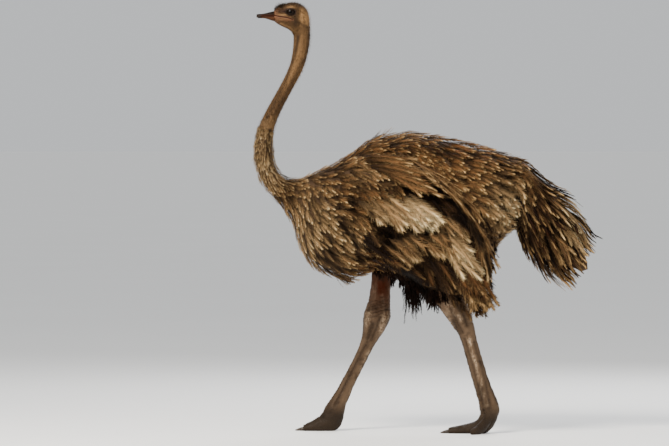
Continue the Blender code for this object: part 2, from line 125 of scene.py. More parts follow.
class Value:
    """One output of a node. Sums on it add nodes to the same tree."""

    def __init__(self, tree, socket):
        self.tree, self.socket = tree, socket

    def sum(self, operation, first, second):
        def is_vector(x):
            return isinstance(x, tuple) or isinstance(x, Value) and x.socket.type in VECTORS
        if not (is_vector(first) or is_vector(second)):
            return self.tree.node("ShaderNodeMath", {"operation": operation}, {0: first, 1: second})
        if operation == "MULTIPLY" and is_vector(first) != is_vector(second):
            vector, number = (first, second) if is_vector(first) else (second, first)
            if not isinstance(number, tuple):
                return self.tree.node("ShaderNodeVectorMath", {"operation": "SCALE"},
                                      {0: vector, "Scale": number})
        return self.tree.node("ShaderNodeVectorMath", {"operation": operation},
                              {0: first, 1: second})

    def __add__(self, other): return self.sum("ADD", self, other)
    def __radd__(self, other): return self.sum("ADD", other, self)
    def __sub__(self, other): return self.sum("SUBTRACT", self, other)
    def __rsub__(self, other): return self.sum("SUBTRACT", other, self)
    def __mul__(self, other): return self.sum("MULTIPLY", self, other)
    def __rmul__(self, other): return self.sum("MULTIPLY", other, self)
    def __truediv__(self, other): return self.sum("DIVIDE", self, other)
    def __rtruediv__(self, other): return self.sum("DIVIDE", other, self)
    def __pow__(self, other): return self.sum("POWER", self, other)

    def clamp(self):
        return self.tree.node("ShaderNodeClamp", {}, {0: self})

    def between(self, low, high):
        """0 below low and 1 above high, with a soft step."""
        return self.tree.node("ShaderNodeMapRange", {"interpolation_type": "SMOOTHSTEP"},
                              {0: self, 1: low, 2: high})

    def axis(self, which):
        """One number of a vector: 0 for x, 1 for y, 2 for z."""
        return self.tree.node("ShaderNodeSeparateXYZ", {}, {0: self}, out=which)


class Tree:
    """A node tree to write sums in."""

    def __init__(self, tree):
        self.tree = tree

    def node(self, kind, settings=None, sockets=None, out=0):
        made = self.tree.nodes.new(kind)
        for name, setting in (settings or {}).items():
            setattr(made, name, setting)
        for key, value in (sockets or {}).items():
            if isinstance(value, Value):
                self.tree.links.new(value.socket, made.inputs[key])
            else:
                made.inputs[key].default_value = value
        return Value(self, made.outputs[out]) if made.outputs else None

    def mix(self, first, second, share):
        """Between two colours."""
        colours = [c if isinstance(c, Value) else (*c, 1) for c in (first, second)]
        return self.node("ShaderNodeMix", {"data_type": "RGBA"},
                         {0: share, 6: colours[0], 7: colours[1]}, out=2)

    def attribute(self, name):
        return self.node("ShaderNodeAttribute", {"attribute_name": name}, out=2)

    def place(self):
        """The point that is being shaded, in the object's own metres."""
        return self.node("ShaderNodeTexCoord", out=3)

    def noise(self, scale, detail=3.0, place=None, stretch=None):
        """A grey noise over the object, finer as scale grows. stretch squeezes it along an axis."""
        place = place or self.place()
        if stretch:
            place = self.node("ShaderNodeMapping", {}, {0: place, "Scale": stretch})
        return self.node("ShaderNodeTexNoise", {},
                         {"Vector": place, "Scale": scale, "Detail": detail})


def finish_of(name, paint, rough=0.6, **sockets):
    """A material. paint(tree) gives its colour and, where they vary, its height in metres for
    bump and its roughness."""
    made = bpy.data.materials.new(name)
    made.use_nodes = True
    shader = made.node_tree.nodes["Principled BSDF"]
    shader.inputs["Roughness"].default_value = rough
    for key, value in sockets.items():
        shader.inputs[key.replace("_", " ")].default_value = value
    tree = Tree(made.node_tree)
    colour, height, roughness = (paint(tree) + (None, None))[:3]
    made.node_tree.links.new(colour.socket, shader.inputs["Base Color"])
    if height is not None:
        bump = tree.node("ShaderNodeBump", {}, {"Height": height, "Distance": 1.0})
        made.node_tree.links.new(bump.socket, shader.inputs["Normal"])
    if roughness is not None:
        made.node_tree.links.new(roughness.socket, shader.inputs["Roughness"])
    return made


def new_piece(name, points, faces, material):
    """A smooth mesh object from arrays, its place in its mesh."""
    mesh = bpy.data.meshes.new(name)
    mesh.from_pydata([tuple(p) for p in points], [], [tuple(f) for f in faces])
    mesh.validate()
    mesh.shade_smooth()
    if material:
        mesh.materials.append(material)
    return place_in_scene(name, mesh)


floor_finish = finish_of("studio_floor", lambda t: (t.mix((0.80, 0.79, 0.77), (0.84, 0.83, 0.81),
                                                          t.noise(0.6)),), 0.85,
                         Emission_Color=(0.80, 0.82, 0.84, 1), Emission_Strength=0.155)
half = FLOOR_SIDE / 2
floor = new_piece("floor", [(-half, -half, 0), (half, -half, 0), (half, half, 0), (-half, half, 0)],
                  [(0, 1, 2, 3)], floor_finish)

# %% [markdown]
# ## Measuring the frame
# The skin and the lie of the coat both follow the frame, so the first tool is a tape measure. A
# line of stations runs from the face along the neck and the back to the end of the tail. At each
# one a ring of rays is shot inwards from outside, and where they land is the outline of the coat.
# The result is a grid of rows and columns, and every later step can ask it where the surface is.

# %% A grid measured round a line of stations
def unit(vectors):
    return vectors / np.maximum(np.linalg.norm(vectors, axis=-1, keepdims=True), 1e-9)


def turns(count):
    """Angles of points that stand evenly round a ring."""
    return np.arange(count) * 2 * math.pi / count


def travelled(points):
    """The way along a line from its first point to each of its points."""
    return np.concatenate([[0], np.cumsum(np.linalg.norm(np.diff(points, axis=0), axis=1))])


def soft_line(stations, t):
    """The stations' columns at the parameters t, on a smooth curve through them."""
    table = np.asarray(stations, float)
    table = np.vstack([2 * table[0] - table[1], table, 2 * table[-1] - table[-2]])
    i = np.clip(np.floor(t).astype(int), 0, len(table) - 4)
    f = (t - i)[:, None]
    a, b, c, d = (table[i + k] for k in range(4))
    return 0.5 * (2 * b + (c - a) * f + (2 * a - 5 * b + 4 * c - d) * f ** 2
                  + (3 * b - a - 3 * c + d) * f ** 3)


def spaced(stations, spacing):
    """Parameters along the stations so that rows are spacing(share of the line) metres apart."""
    fine = np.linspace(0, len(stations) - 1, 2000)
    line = soft_line(stations, fine)[:, :3]
    gap = np.linalg.norm(np.diff(line, axis=0), axis=1)
    rows = np.concatenate([[0], np.cumsum(gap / spacing(fine[1:]))])
    return np.interp(np.linspace(0, rows[-1], int(round(rows[-1])) + 1), rows, fine)


def solid_of(nodes):
    """One tree to shoot rays at, for these frame nodes."""
    points, faces = [], []
    for node in nodes:
        mesh = frame["nodes"][node].data
        start = len(points)
        points += [v.co.copy() for v in mesh.vertices]
        faces += [[start + i for i in p.vertices] for p in mesh.polygons]
    return BVHTree.FromPolygons(points, faces)


def blur(grid, sigma):
    """Smooths a grid of numbers along its rows and round its columns."""
    for axis, width in enumerate(sigma):
        if width <= 0:
            continue
        reach = max(1, int(3 * width))
        weights = np.exp(-0.5 * (np.arange(-reach, reach + 1) / width) ** 2)
        weights /= weights.sum()
        pad = [(0, 0)] * grid.ndim
        pad[axis] = (reach, reach)
        wide = np.pad(grid, pad, mode="edge" if axis == 0 else "wrap")
        length = grid.shape[axis]
        grid = sum(w * np.take(wide, range(k, k + length), axis=axis)
                   for k, w in enumerate(weights))
    return grid


PITS = 2, 1                    # dents this narrow, in rows and columns, are filled


def without_pits(grid, rows, columns):
    """Fills dents narrower than the given numbers of rows and columns."""
    for pick in (np.maximum, np.minimum):
        for axis, reach in ((0, rows), (1, columns)):
            pad = [(reach, reach) if k == axis else (0, 0) for k in range(2)]
            wide = np.pad(grid, pad, mode="edge" if axis == 0 else "wrap")
            grid = pick.reduce([np.take(wide, range(k, k + grid.shape[axis]), axis=axis)
                                for k in range(2 * reach + 1)])
    return grid


def measure(stations, nodes, columns, spacing, blur_by):
    """Rings of (centre, direction, radius) round the stations (x, y, z, lean in degrees, reach)."""
    solid = solid_of(nodes)
    t = spaced(stations, spacing)
    line = soft_line(stations, t)
    centre, lean, reach = line[:, :3], np.radians(line[:, 3]), line[:, 4]
    turn = turns(columns)
    up = np.stack([np.sin(lean), 0 * lean, np.cos(lean)], 1)
    out = (up[:, None] * np.cos(turn)[None, :, None]
           + np.array([0, 1, 0]) * np.sin(turn)[None, :, None])
    radius = np.full(out.shape[:2], np.nan)
    for i in range(len(t)):
        for j in range(columns):
            start = Vector(centre[i] + out[i, j] * reach[i])
            hit = solid.ray_cast(start, Vector(-out[i, j]), reach[i])[3]
            if hit is not None:
                radius[i, j] = reach[i] - hit
    for j in range(columns):
        found = np.flatnonzero(~np.isnan(radius[:, j]))
        radius[:, j] = np.interp(np.arange(len(t)), found, radius[found, j])
    radius = blur(without_pits(radius, *PITS), blur_by)
    return {"t": t, "centre": centre, "out": out, "radius": radius,
            "outer": centre[:, None] + out * radius[..., None]}


# The line from the face to the end of the tail: x, z, the lean of the ring, how far rays start.
SPINE = [
    (-.634, 1.7345, -4, .05), (-.616, 1.738, -1, .07), (-.594, 1.738, 2, .08),
    (-.572, 1.739, 10, .09), (-.550, 1.734, 19, .09), (-.531, 1.7195, 31, .085),
    (-.521, 1.696, 47, .075), (-.518, 1.652, 92, .06), (-.523, 1.594, 97, .06),
    (-.538, 1.530, 106, .055), (-.566, 1.469, 116, .055), (-.601, 1.405, 119, .055),
    (-.639, 1.333, 115, .06), (-.668, 1.262, 105, .065), (-.678, 1.190, 92, .08),
    (-.673, 1.125, 77, .08), (-.651, 1.067, 60, .085), (-.621, 1.032, 48, .10),
    (-.585, 1.009, 29, .12), (-.551, .988, 24, .16), (-.516, .979, 21, .22),
    (-.480, .964, 22, .30), (-.440, .948, 22, .36), (-.384, .936, 20, .42),
    (-.310, .940, 16, .45), (-.222, .947, 14, .45), (-.128, .964, 13, .45),
    (-.035, .935, 11, .45), (.055, .907, 8, .45), (.149, .911, 6, .42),
    (.250, .950, 4, .38), (.331, .987, 3, .33), (.384, .999, 3, .28), (.417, .967, 12, .26),
    (.459, .909, 21, .26), (.516, .851, 26, .26), (.574, .785, 30, .26), (.624, .724, 30, .24),
    (.660, .692, 29, .22),
]
BODY_COLUMNS = 144
# Stations, and how far apart rows are there: close on the face, far apart on the trunk.
BODY_SPACING = ([0, 5, 7, 9, 13, 17, 21, 38], [.0018, .0019, .003, .005, .006, .009, .018, .018])
body = measure([(x, 0, z, lean, reach) for x, z, lean, reach in SPINE],
               ["head", "eye_left", "eye_right", "neck_upper", "neck_middle", "neck_lower", "trunk",
                "tail"], BODY_COLUMNS, lambda t: np.interp(t, *BODY_SPACING), (1.2, 1.2))
print("body grid:", body["radius"].shape)

# %% [markdown]
# ## How deep the coat is
# The skin lies inside the outline by the depth of the coat: almost nothing on the face, a few
# millimetres of down on the neck, three centimetres of feathers on the trunk. The tail is all
# feather over a short stub, so there the skin shrinks to a core.

# %% Outline and skin
COAT_DEPTH = ([0, 6, 8, 12, 13.5, 17, 21, 30, 33],
              [.0006, .001, .0018, .002, .006, .014, .028, .032, .045])
TAIL_CORE = ([33, 34.5, 36.5, 38], [1.0, 0.72, 0.5, 0.3])       # share of the radius that is flesh
THINNEST_FLESH = 0.004


def skin_under(grid):
    """The same rings, sunk by the depth of the coat."""
    flesh = grid["radius"] - np.interp(grid["t"], *COAT_DEPTH)[:, None]
    core = np.interp(grid["t"], *TAIL_CORE)[:, None]
    inner = np.maximum(np.minimum(flesh, flesh * core), THINNEST_FLESH)
    return grid["centre"][:, None] + grid["out"] * inner[..., None]


def add_slopes(grid, soft=(2.0, 2.0)):
    """Directions along the rows and round the columns, and the outward normal, of the outline."""
    outer = np.stack([blur(grid["outer"][..., k], soft) for k in range(3)], -1)
    grid["along"] = np.gradient(outer, axis=0)
    grid["round"] = (np.roll(outer, -1, 1) - np.roll(outer, 1, 1)) / 2
    normal = np.cross(grid["along"], grid["round"])
    grid["normal"] = unit(normal * np.sign((normal * grid["out"]).sum(-1).mean()))


def tube_faces(rows, columns):
    """Quads between rings, and fans to one point at each end."""
    i, j = np.meshgrid(np.arange(rows - 1), np.arange(columns), indexing="ij")
    a, b = i * columns + j, i * columns + (j + 1) % columns
    quads = np.stack([a, b, b + columns, a + columns], -1).reshape(-1, 4).tolist()
    first, last, j = rows * columns, rows * columns + 1, np.arange(columns)
    k, end = (j + 1) % columns, (rows - 1) * columns
    return (quads + np.stack([k, j, j * 0 + first], 1).tolist()
            + np.stack([end + j, end + k, j * 0 + last], 1).tolist())


def tube(name, rings, material=None, puff=(0.0, 0.0)):
    """A closed tube through the rings, rounded off past its two ends by puff metres."""
    rows, columns = rings.shape[:2]
    ends = []
    for row, near, far in ((0, 1, puff[0]), (-1, -2, puff[1])):
        away = rings[row].mean(0) - rings[near].mean(0)
        ends.append(rings[row].mean(0) + away / np.linalg.norm(away) * far)
    points = np.vstack([rings.reshape(-1, 3), ends])
    made = new_piece(name, points, tube_faces(rows, columns), material)
    point_outwards(made)
    return made


def point_outwards(piece):
    """Turns a closed mesh the right way round, by the sign of its volume."""
    mesh = piece.data
    mesh.calc_loop_triangles()
    points = np.empty(len(mesh.vertices) * 3)
    mesh.vertices.foreach_get("co", points)
    corners = np.empty(len(mesh.loop_triangles) * 3, np.int64)
    mesh.loop_triangles.foreach_get("vertices", corners)
    a, b, c = points.reshape(-1, 3)[corners].reshape(-1, 3, 3).transpose(1, 0, 2)
    if (np.cross(a, b) * c).sum() < 0:
        mesh.flip_normals()


body["inner"] = skin_under(body)
add_slopes(body)
deepest = np.linalg.norm(body["outer"] - body["inner"], axis=-1).max()
print("deepest coat: %.0f mm" % (1000 * deepest))

# %% [markdown]
# ## The face
# The head gets the most care. An ostrich has big eyes under a low brow, lids that close over the
# ball, a groove in front of each eye, a mouth line that runs back from the bill to below the eye,
# and an open ear in a patch of thin down. Each is one small move of the skin, written as a soft
# dent or ridge along a line, so that they can be tuned one by one.

# %% Dents and ridges
EYE, EYE_RADIUS = np.array([-0.5638, 0.0232, 1.7515]), 0.0225
LID_LONG, LID_HIGH, LID_THICK = 0.0185, 0.0128, 0.0011
FACE_END, FACE_EDGE, FACE_TAPER = 7.5, 0.6, 0.0030    # it thins out over the root of the bill
LID_EDGE, LID_SOFT, BEHIND_BALL, SOCKET = 1.10, 0.14, 0.0030, 1.6
LINES = {            # points (x, z), half width, depth: under 0 is a ridge
    "mouth": ([(-.640, 1.7392), (-.617, 1.7345), (-.592, 1.7305), (-.567, 1.7255),
               (-.5545, 1.7200)], .0023, .0034),
    "upper lip": ([(-.634, 1.7440), (-.610, 1.7385), (-.585, 1.7345),
                   (-.562, 1.7290)], .0026, -.0011),
    "lower lip": ([(-.630, 1.7330), (-.608, 1.7290), (-.585, 1.7255),
                   (-.564, 1.7190)], .0026, -.0012),
    "lore": ([(-.612, 1.7585), (-.598, 1.7610), (-.586, 1.7600)], .0026, .0018),
    "brow": ([(-.592, 1.7640), (-.578, 1.7695), (-.562, 1.7700), (-.546, 1.7650)], .0040, -.0022),
    "under lid": ([(-.585, 1.7395), (-.572, 1.7352), (-.556, 1.7355),
                   (-.544, 1.7420)], .0014, .0009),
    "behind eye": ([(-.541, 1.7560), (-.534, 1.7500), (-.530, 1.7400)], .0018, .0009),
    "cheek fold": ([(-.577, 1.7360), (-.560, 1.7345), (-.543, 1.7400)], .0020, .0010),
    "jaw fold": ([(-.552, 1.7130), (-.540, 1.7070), (-.522, 1.7040)], .0024, .0014),
    "ear": ([(-.5090, 1.7290), (-.5080, 1.7215)], .0024, .0045),
    "ear rim": ([(-.5145, 1.7310), (-.5140, 1.7190)], .0022, -.0012),
    "nape fold": ([(-.506, 1.7130), (-.521, 1.7080), (-.534, 1.6990)], .0022, .0012),
}


def away_from_line(points, line):
    """How far points are, seen from the side, from a line of (x, z)."""
    flat, best = points[..., [0, 2]], np.full(points.shape[:-1], 1e9)
    for a, b in zip(np.array(line[:-1]), np.array(line[1:])):
        share = np.clip(((flat - a) @ (b - a)) / ((b - a) @ (b - a)), 0, 1)
        best = np.minimum(best, np.linalg.norm(flat - a - share[..., None] * (b - a), axis=-1))
    return best


def engrave(rings, outwards, flank, forms):
    """Presses dents and ridges along lines into the sides of a skin."""
    for line, width, depth in forms:
        away = away_from_line(rings, line)
        rings -= outwards * (depth * flank * np.exp(-0.5 * (away / width) ** 2))[..., None]


def lid_ring(points):
    """1 on the edge of the eye's opening seen from the side, less inside it."""
    return np.hypot((points[..., 0] - EYE[0]) / LID_LONG, (points[..., 2] - EYE[2]) / LID_HIGH)


def sculpt_face(skin, normal):
    rows = np.flatnonzero(body["t"] < FACE_END)
    face, outwards = skin[rows], normal[rows]
    front = np.clip(1 - body["t"][rows] / FACE_EDGE, 0, 1)[:, None, None]
    face -= outwards * FACE_TAPER * front ** 1.5
    engrave(face, outwards, np.clip((np.abs(face[..., 1]) - 0.006) / 0.008, 0, 1), LINES.values())
    for sign in SIDES.values():
        centre = EYE * (1, sign, 1)
        offset = face - centre
        away, ring = np.linalg.norm(offset, axis=-1), lid_ring(face)
        near = (offset[..., 1] * sign > 0) & (away < EYE_RADIUS * SOCKET)
        lid = np.maximum(away, EYE_RADIUS + LID_THICK)
        open_share = np.clip((LID_EDGE - ring) / LID_SOFT, 0, 1)
        wanted = lid * (1 - open_share) + (EYE_RADIUS - BEHIND_BALL) * open_share
        face[:] = centre + offset * (np.where(near, wanted, away) / away)[..., None]
    skin[rows] = face


body_skin = body["inner"].copy()
sculpt_face(body_skin, body["normal"])
skin = tube("skin", body_skin, puff=(0.0005, 0.02))
print("skin of head, neck and body:", len(skin.data.polygons), "faces")

# %% [markdown]
# ## Legs and feet
# Each leg is bare from the drumstick down: a thick ankle, a long shank, and a foot of two toes.
# The same tape measure runs from the hip through the ankle to the tip of the big toe. The front
# of shank and toe carries a row of broad scales, which are steps in the skin, and the ankle has
# folds. Small round scales elsewhere are left to the material.

# %% Legs
LEG_LINES = {        # from the hip down to the tip of the big toe: x, z, lean of the ring, reach
    "left": [(-.075, .765, -133, .11), (-.010, .690, -132, .11), (.060, .608, -127, .10),
             (.116, .528, -121, .10), (.148, .468, -115, .09), (.168, .420, -110, .08),
             (.182, .370, -106, .08), (.198, .313, -106, .08), (.218, .245, -107, .08),
             (.239, .181, -108, .08), (.255, .135, -106, .08), (.265, .092, -104, .09),
             (.253, .056, -78, .09), (.2247, .023, -43, .07), (.1702, .016, -24, .06),
             (.1242, .012, -6, .05), (.1007, .0105, -2, .045), (.0925, .0095, -1, .04)],
    "right": [(-.168, .800, -97, .10), (-.179, .700, -96, .10), (-.186, .620, -95, .09),
              (-.193, .548, -97, .09), (-.202, .485, -101, .10), (-.215, .442, -107, .09),
              (-.230, .398, -110, .08), (-.250, .350, -113, .08), (-.292, .265, -117, .07),
              (-.335, .180, -118, .07), (-.361, .128, -116, .08), (-.380, .088, -115, .09),
              (-.393, .0515, -85, .09), (-.4168, .0265, -48, .07), (-.4618, .0175, -34, .06),
              (-.4888, .0135, -18, .05), (-.5033, .0112, -6, .045), (-.5118, .0100, -3, .04)],
}
LEG_OUT = ([0.088, 0.528, 0.80], [0.088, 0.098, 0.125])   # how far out it is, by height
LEG_COLUMNS = 64
SCALE_STEP, SCALE_DEPTH, SCALE_RISE = 0.0140, 0.0020, 0.86   # a scale rises, then drops
LEG_FORMS = {        # tendons, folds, hollows: points (x, z), half width, depth (a ridge below 0)
    "left": [([(.175, .394), (.204, .294), (.229, .198), (.250, .120)], .0050, -.0035),
             ([(.160, .394), (.190, .294), (.215, .198), (.236, .120)], .0040, .0035),
             ([(.198, .380), (.226, .290), (.248, .200), (.266, .120)], .0040, .0030),
             ([(.238, .098), (.243, .060), (.240, .018)], .0030, .0060),
             ([(.085, .545), (.110, .505), (.140, .480)], .0060, -.0050),
             ([(.100, .520), (.125, .470), (.150, .420)], .0045, .0045),
             ([(.125, .540), (.150, .500), (.168, .450)], .0050, .0035)],
    "right": [([(-.246, .490), (-.251, .455)], .0110, -.0050),
              ([(-.225, .494), (-.190, .505), (-.150, .512)], .0026, .0035),
              ([(-.240, .508), (-.200, .518), (-.165, .526)], .0024, .0025),
              ([(-.240, .476), (-.205, .484), (-.180, .498)], .0024, .0028),
              ([(-.222, .446), (-.240, .390)], .0070, .0070),
              ([(-.245, .370), (-.310, .245), (-.378, .112)], .0050, .0040),
              ([(-.279, .385), (-.336, .268), (-.392, .152), (-.420, .095)], .0045, -.0035),
              ([(-.235, .330), (-.275, .240), (-.315, .150), (-.338, .085)], .0045, -.0030),
              ([(-.165, .472), (-.180, .430)], .0120, -.0050),
              ([(-.188, .478), (-.204, .430), (-.225, .380)], .0045, .0050)],
}
ANKLE_STATION, SHANK_STATION = 3.5, 5.0
LEG_SPACING = ([0, 2, 3, 5, 17], [.014, .008, .0032, .0032, .0026])     # station, gap of its rows


def scaled_front(grid, rings, normal):
    """Cuts the broad scales into the front of the shank and the top of the toe."""
    turn = turns(rings.shape[1])
    front = np.clip(1.35 * np.cos(turn) - 0.25, 0, 1)[None] ** 0.5
    phase = (travelled(grid["centre"]) / SCALE_STEP)[:, None] - 0.35 * (1 - np.cos(turn))[None]
    saw = phase % 1.0
    rise, drop = 0.35 + 0.65 * saw / SCALE_RISE, (1 - saw) / (1 - SCALE_RISE)
    step = np.where(saw < SCALE_RISE, rise, drop)
    fade = np.interp(grid["t"], [SHANK_STATION, SHANK_STATION + 1], [0, 1])[:, None]
    return rings + normal * ((step - 0.5) * SCALE_DEPTH * front * fade)[..., None]


def coherent(points, size, seed=0.0):
    """A slow noise from -1 to 1, so that neighbours look alike."""
    return np.array([noise.noise(Vector(p)) for p in points / size + seed])


def wrinkled(points, normal, size, depth, stretch=(1, 1, 1)):
    """Small folds, from a noise that is squeezed along the leg."""
    height = coherent(points.reshape(-1, 3) * stretch, size).reshape(points.shape[:-1])
    return points + normal * (height * depth)[..., None]


legs = {}
for side, sign in SIDES.items():
    line = [(x, sign * np.interp(z, *LEG_OUT), z, lean, reach)
            for x, z, lean, reach in LEG_LINES[side]]
    grid = measure(line, [f"{part}_{side}" for part in ("drumstick", "hock", "shank", "big_toe")],
                   LEG_COLUMNS, lambda t: np.interp(t, *LEG_SPACING), (1.5, 1.2))
    add_slopes(grid, (1.0, 1.0))
    rings = scaled_front(grid, grid["outer"], grid["normal"])
    at_ankle = np.exp(-0.5 * ((grid["t"] - ANKLE_STATION) / 1.1) ** 2)[:, None, None]
    folds = wrinkled(rings, grid["normal"], 0.012, 0.0036, (1, 1, 2.2)) - rings
    rings = wrinkled(rings + folds * at_ankle, grid["normal"], 0.02, 0.0017)
    flank = np.clip(np.abs(grid["normal"][..., 1]) * 1.6, 0, 1)
    engrave(rings, grid["normal"], flank, LEG_FORMS[side])
    rings[..., 2] = np.maximum(rings[..., 2], 0.0)
    legs[side] = grid
    tube(f"skin_leg_{side}", rings, puff=(0.02, 0.002))
print("rows on a leg:", len(legs["left"]["t"]))

# %% [markdown]
# The small outer toe points away from the big one, so its rings lie across its own line. It needs
# no measuring: five stations along it say how high and wide it is.

# %% The small toes
SMALL_TOE_ROOTS = {"left": (0.2573, -0.108), "right": (-0.3889, 0.108)}
SMALL_TOE_LENGTH, SMALL_TOE_TURN = 0.112, math.radians(48)
SMALL_TOE = [        # share of the toe, z, half height, half width
    (0, .060, .0235, .0185), (.3, .034, .0262, .0195), (.62, .017, .0196, .0180),
    (.86, .012, .0146, .0150), (.97, .009, .0075, .0085)]
TOE_ROWS, TOE_COLUMNS, TOE_STATION = 40, 32, 9.0
UP = np.array([0, 0, 1])

for side, sign in SIDES.items():
    rows = soft_line(SMALL_TOE, np.linspace(0, len(SMALL_TOE) - 1, TOE_ROWS))
    ahead = np.array([-math.cos(SMALL_TOE_TURN), sign * math.sin(SMALL_TOE_TURN), 0])
    across, turn = np.array([ahead[1], -ahead[0], 0]), turns(TOE_COLUMNS)
    centre = (np.array([*SMALL_TOE_ROOTS[side], 0]) + ahead * SMALL_TOE_LENGTH * rows[:, :1]
              + UP * rows[:, 1:2])
    out = (UP * np.cos(turn)[None, :, None] * rows[:, 2, None, None]
           + across * np.sin(turn)[None, :, None] * rows[:, 3, None, None])
    toe = {"t": np.full(TOE_ROWS, TOE_STATION), "centre": centre}
    rings = scaled_front(toe, centre[:, None] + out, unit(out))
    rings[..., 2] = np.maximum(rings[..., 2], 0.0)
    tube(f"skin_toe_{side}", rings, puff=(0.002, 0.001))

# %% [markdown]
# ## The wings' arms
# A folded wing is an arm of flesh with long plumes on it. The frame's wing solids reach to the
# plumes' tips, so the flesh is a much smaller flat tube inside them, from the shoulder back to
# the wrist. First the outside of wing and flank is measured as a sheet: how far out it is at each
# place seen from the side. The plumes will need that sheet too.

# %% The sheet over the flank, and the arms in it
SHEET_X, SHEET_Z, SHEET_STEP, SHEET_BLUR = (-0.50, 0.42), (0.40, 1.28), 0.008, 1.6


def filled(values):
    """Grows numbers into the places that have none, from their neighbours."""
    known = ~np.isnan(values)
    values = np.where(known, values, 0.0)
    for _ in range(60):
        if known.all():
            break
        total, count = np.zeros_like(values), np.zeros_like(values)
        for axis, shift in ((0, 1), (0, -1), (1, 1), (1, -1)):
            near = np.roll(known, shift, axis)
            total += np.where(near, np.roll(values, shift, axis), 0)
            count += near
        grown = ~known & (count > 0)
        values[grown] = (total / np.maximum(count, 1))[grown]
        known |= grown
    return values


def flank_sheet():
    """How far from the middle the outside of wing and trunk is, over a net in x and z."""
    wing, rest = solid_of(["wing_left"]), solid_of(["trunk", "tail"])
    xs, zs = np.arange(*SHEET_X, SHEET_STEP), np.arange(*SHEET_Z, SHEET_STEP)
    far = np.full((len(xs), len(zs)), np.nan)
    on_wing = np.zeros(far.shape)
    for i, x in enumerate(xs):
        for k, z in enumerate(zs):
            for solid, wing_here in ((wing, 1.0), (rest, 0.0)):
                hit = solid.ray_cast(Vector((x, -1, z)), Vector((0, 1, 0)), 1.0)[3]
                if hit is not None:
                    far[i, k], on_wing[i, k] = 1 - hit, wing_here
                    break
    ringed = np.pad(filled(far), 1, mode="edge")
    along_x = blur(ringed, (SHEET_BLUR, 0))[1:-1, 1:-1]
    return {"far": blur(along_x.T, (SHEET_BLUR, 0)).T, "wing": on_wing}


def net_at(grid, u, v):
    """A grid of points or numbers at rows u and columns v between its knots."""
    rows, columns = grid.shape[:2]
    u = np.clip(u, 0, rows - 1.001)
    i, j = u.astype(int), np.floor(v).astype(int)
    f, g = u - i, v - j
    if grid.ndim == 3:
        f, g = f[..., None], g[..., None]
    j, k = j % columns, (j + 1) % columns
    return ((grid[i, j] * (1 - f) + grid[i + 1, j] * f) * (1 - g)
            + (grid[i, k] * (1 - f) + grid[i + 1, k] * f) * g)


def at(x, z, key="far"):
    """The sheet's number at places between its knots."""
    column = np.clip((z - SHEET_Z[0]) / SHEET_STEP, 0, sheet[key].shape[1] - 1.001)
    return net_at(sheet[key], (x - SHEET_X[0]) / SHEET_STEP, column)


sheet = flank_sheet()
ARM = [(-.270, 1.050, .030), (-.22, 1.060, .055), (-.13, 1.060, .085), (-.02, 1.005, .090),
       (.07, .920, .080), (.14, .820, .060), (.18, .740, .035)]          # x, z, half its breadth
ARM_INSET, ARM_HALF_THICK = 0.060, 0.020
arm_rows = soft_line(ARM, np.linspace(0, len(ARM) - 1, 50))
arm_turn = turns(40)
for side, sign in SIDES.items():
    middle = arm_rows[:, :2]
    course = np.gradient(middle, axis=0)
    across = np.stack([-course[:, 1], course[:, 0]], 1) / np.linalg.norm(course, axis=1)[:, None]
    spot = middle[:, None] + across[:, None] * (arm_rows[:, 2, None] * np.cos(arm_turn))[..., None]
    depth = at(spot[..., 0], spot[..., 1]) - ARM_INSET
    y = sign * (depth + ARM_HALF_THICK * np.sin(arm_turn)[None])
    tube(f"skin_arm_{side}", np.stack([spot[..., 0], y, spot[..., 1]], -1), puff=(0.02, 0.02))
print("flank sheet:", sheet["far"].shape, "furthest out %.3f" % sheet["far"].max())

# %% [markdown]
# ## One skin
# Body, arms, legs and toes are joined with Boolean unions, so the flesh is one closed surface with
# no seam where a leg leaves the body.

# %% Join the skin
def union(whole, part):
    joint = whole.modifiers.new("union", "BOOLEAN")
    joint.object, joint.operation, joint.solver = part, "UNION", "MANIFOLD"
    graph = bpy.context.evaluated_depsgraph_get()
    mesh = bpy.data.meshes.new_from_object(whole.evaluated_get(graph))
    whole.modifiers.clear()
    whole.data = mesh
    bpy.data.objects.remove(part)


for side in SIDES:
    for part in ("arm", "leg", "toe"):
        union(skin, bpy.data.objects[f"skin_{part}_{side}"])
skin.data.shade_smooth()
print("skin:", len(skin.data.vertices), "points,", len(skin.data.polygons), "faces")
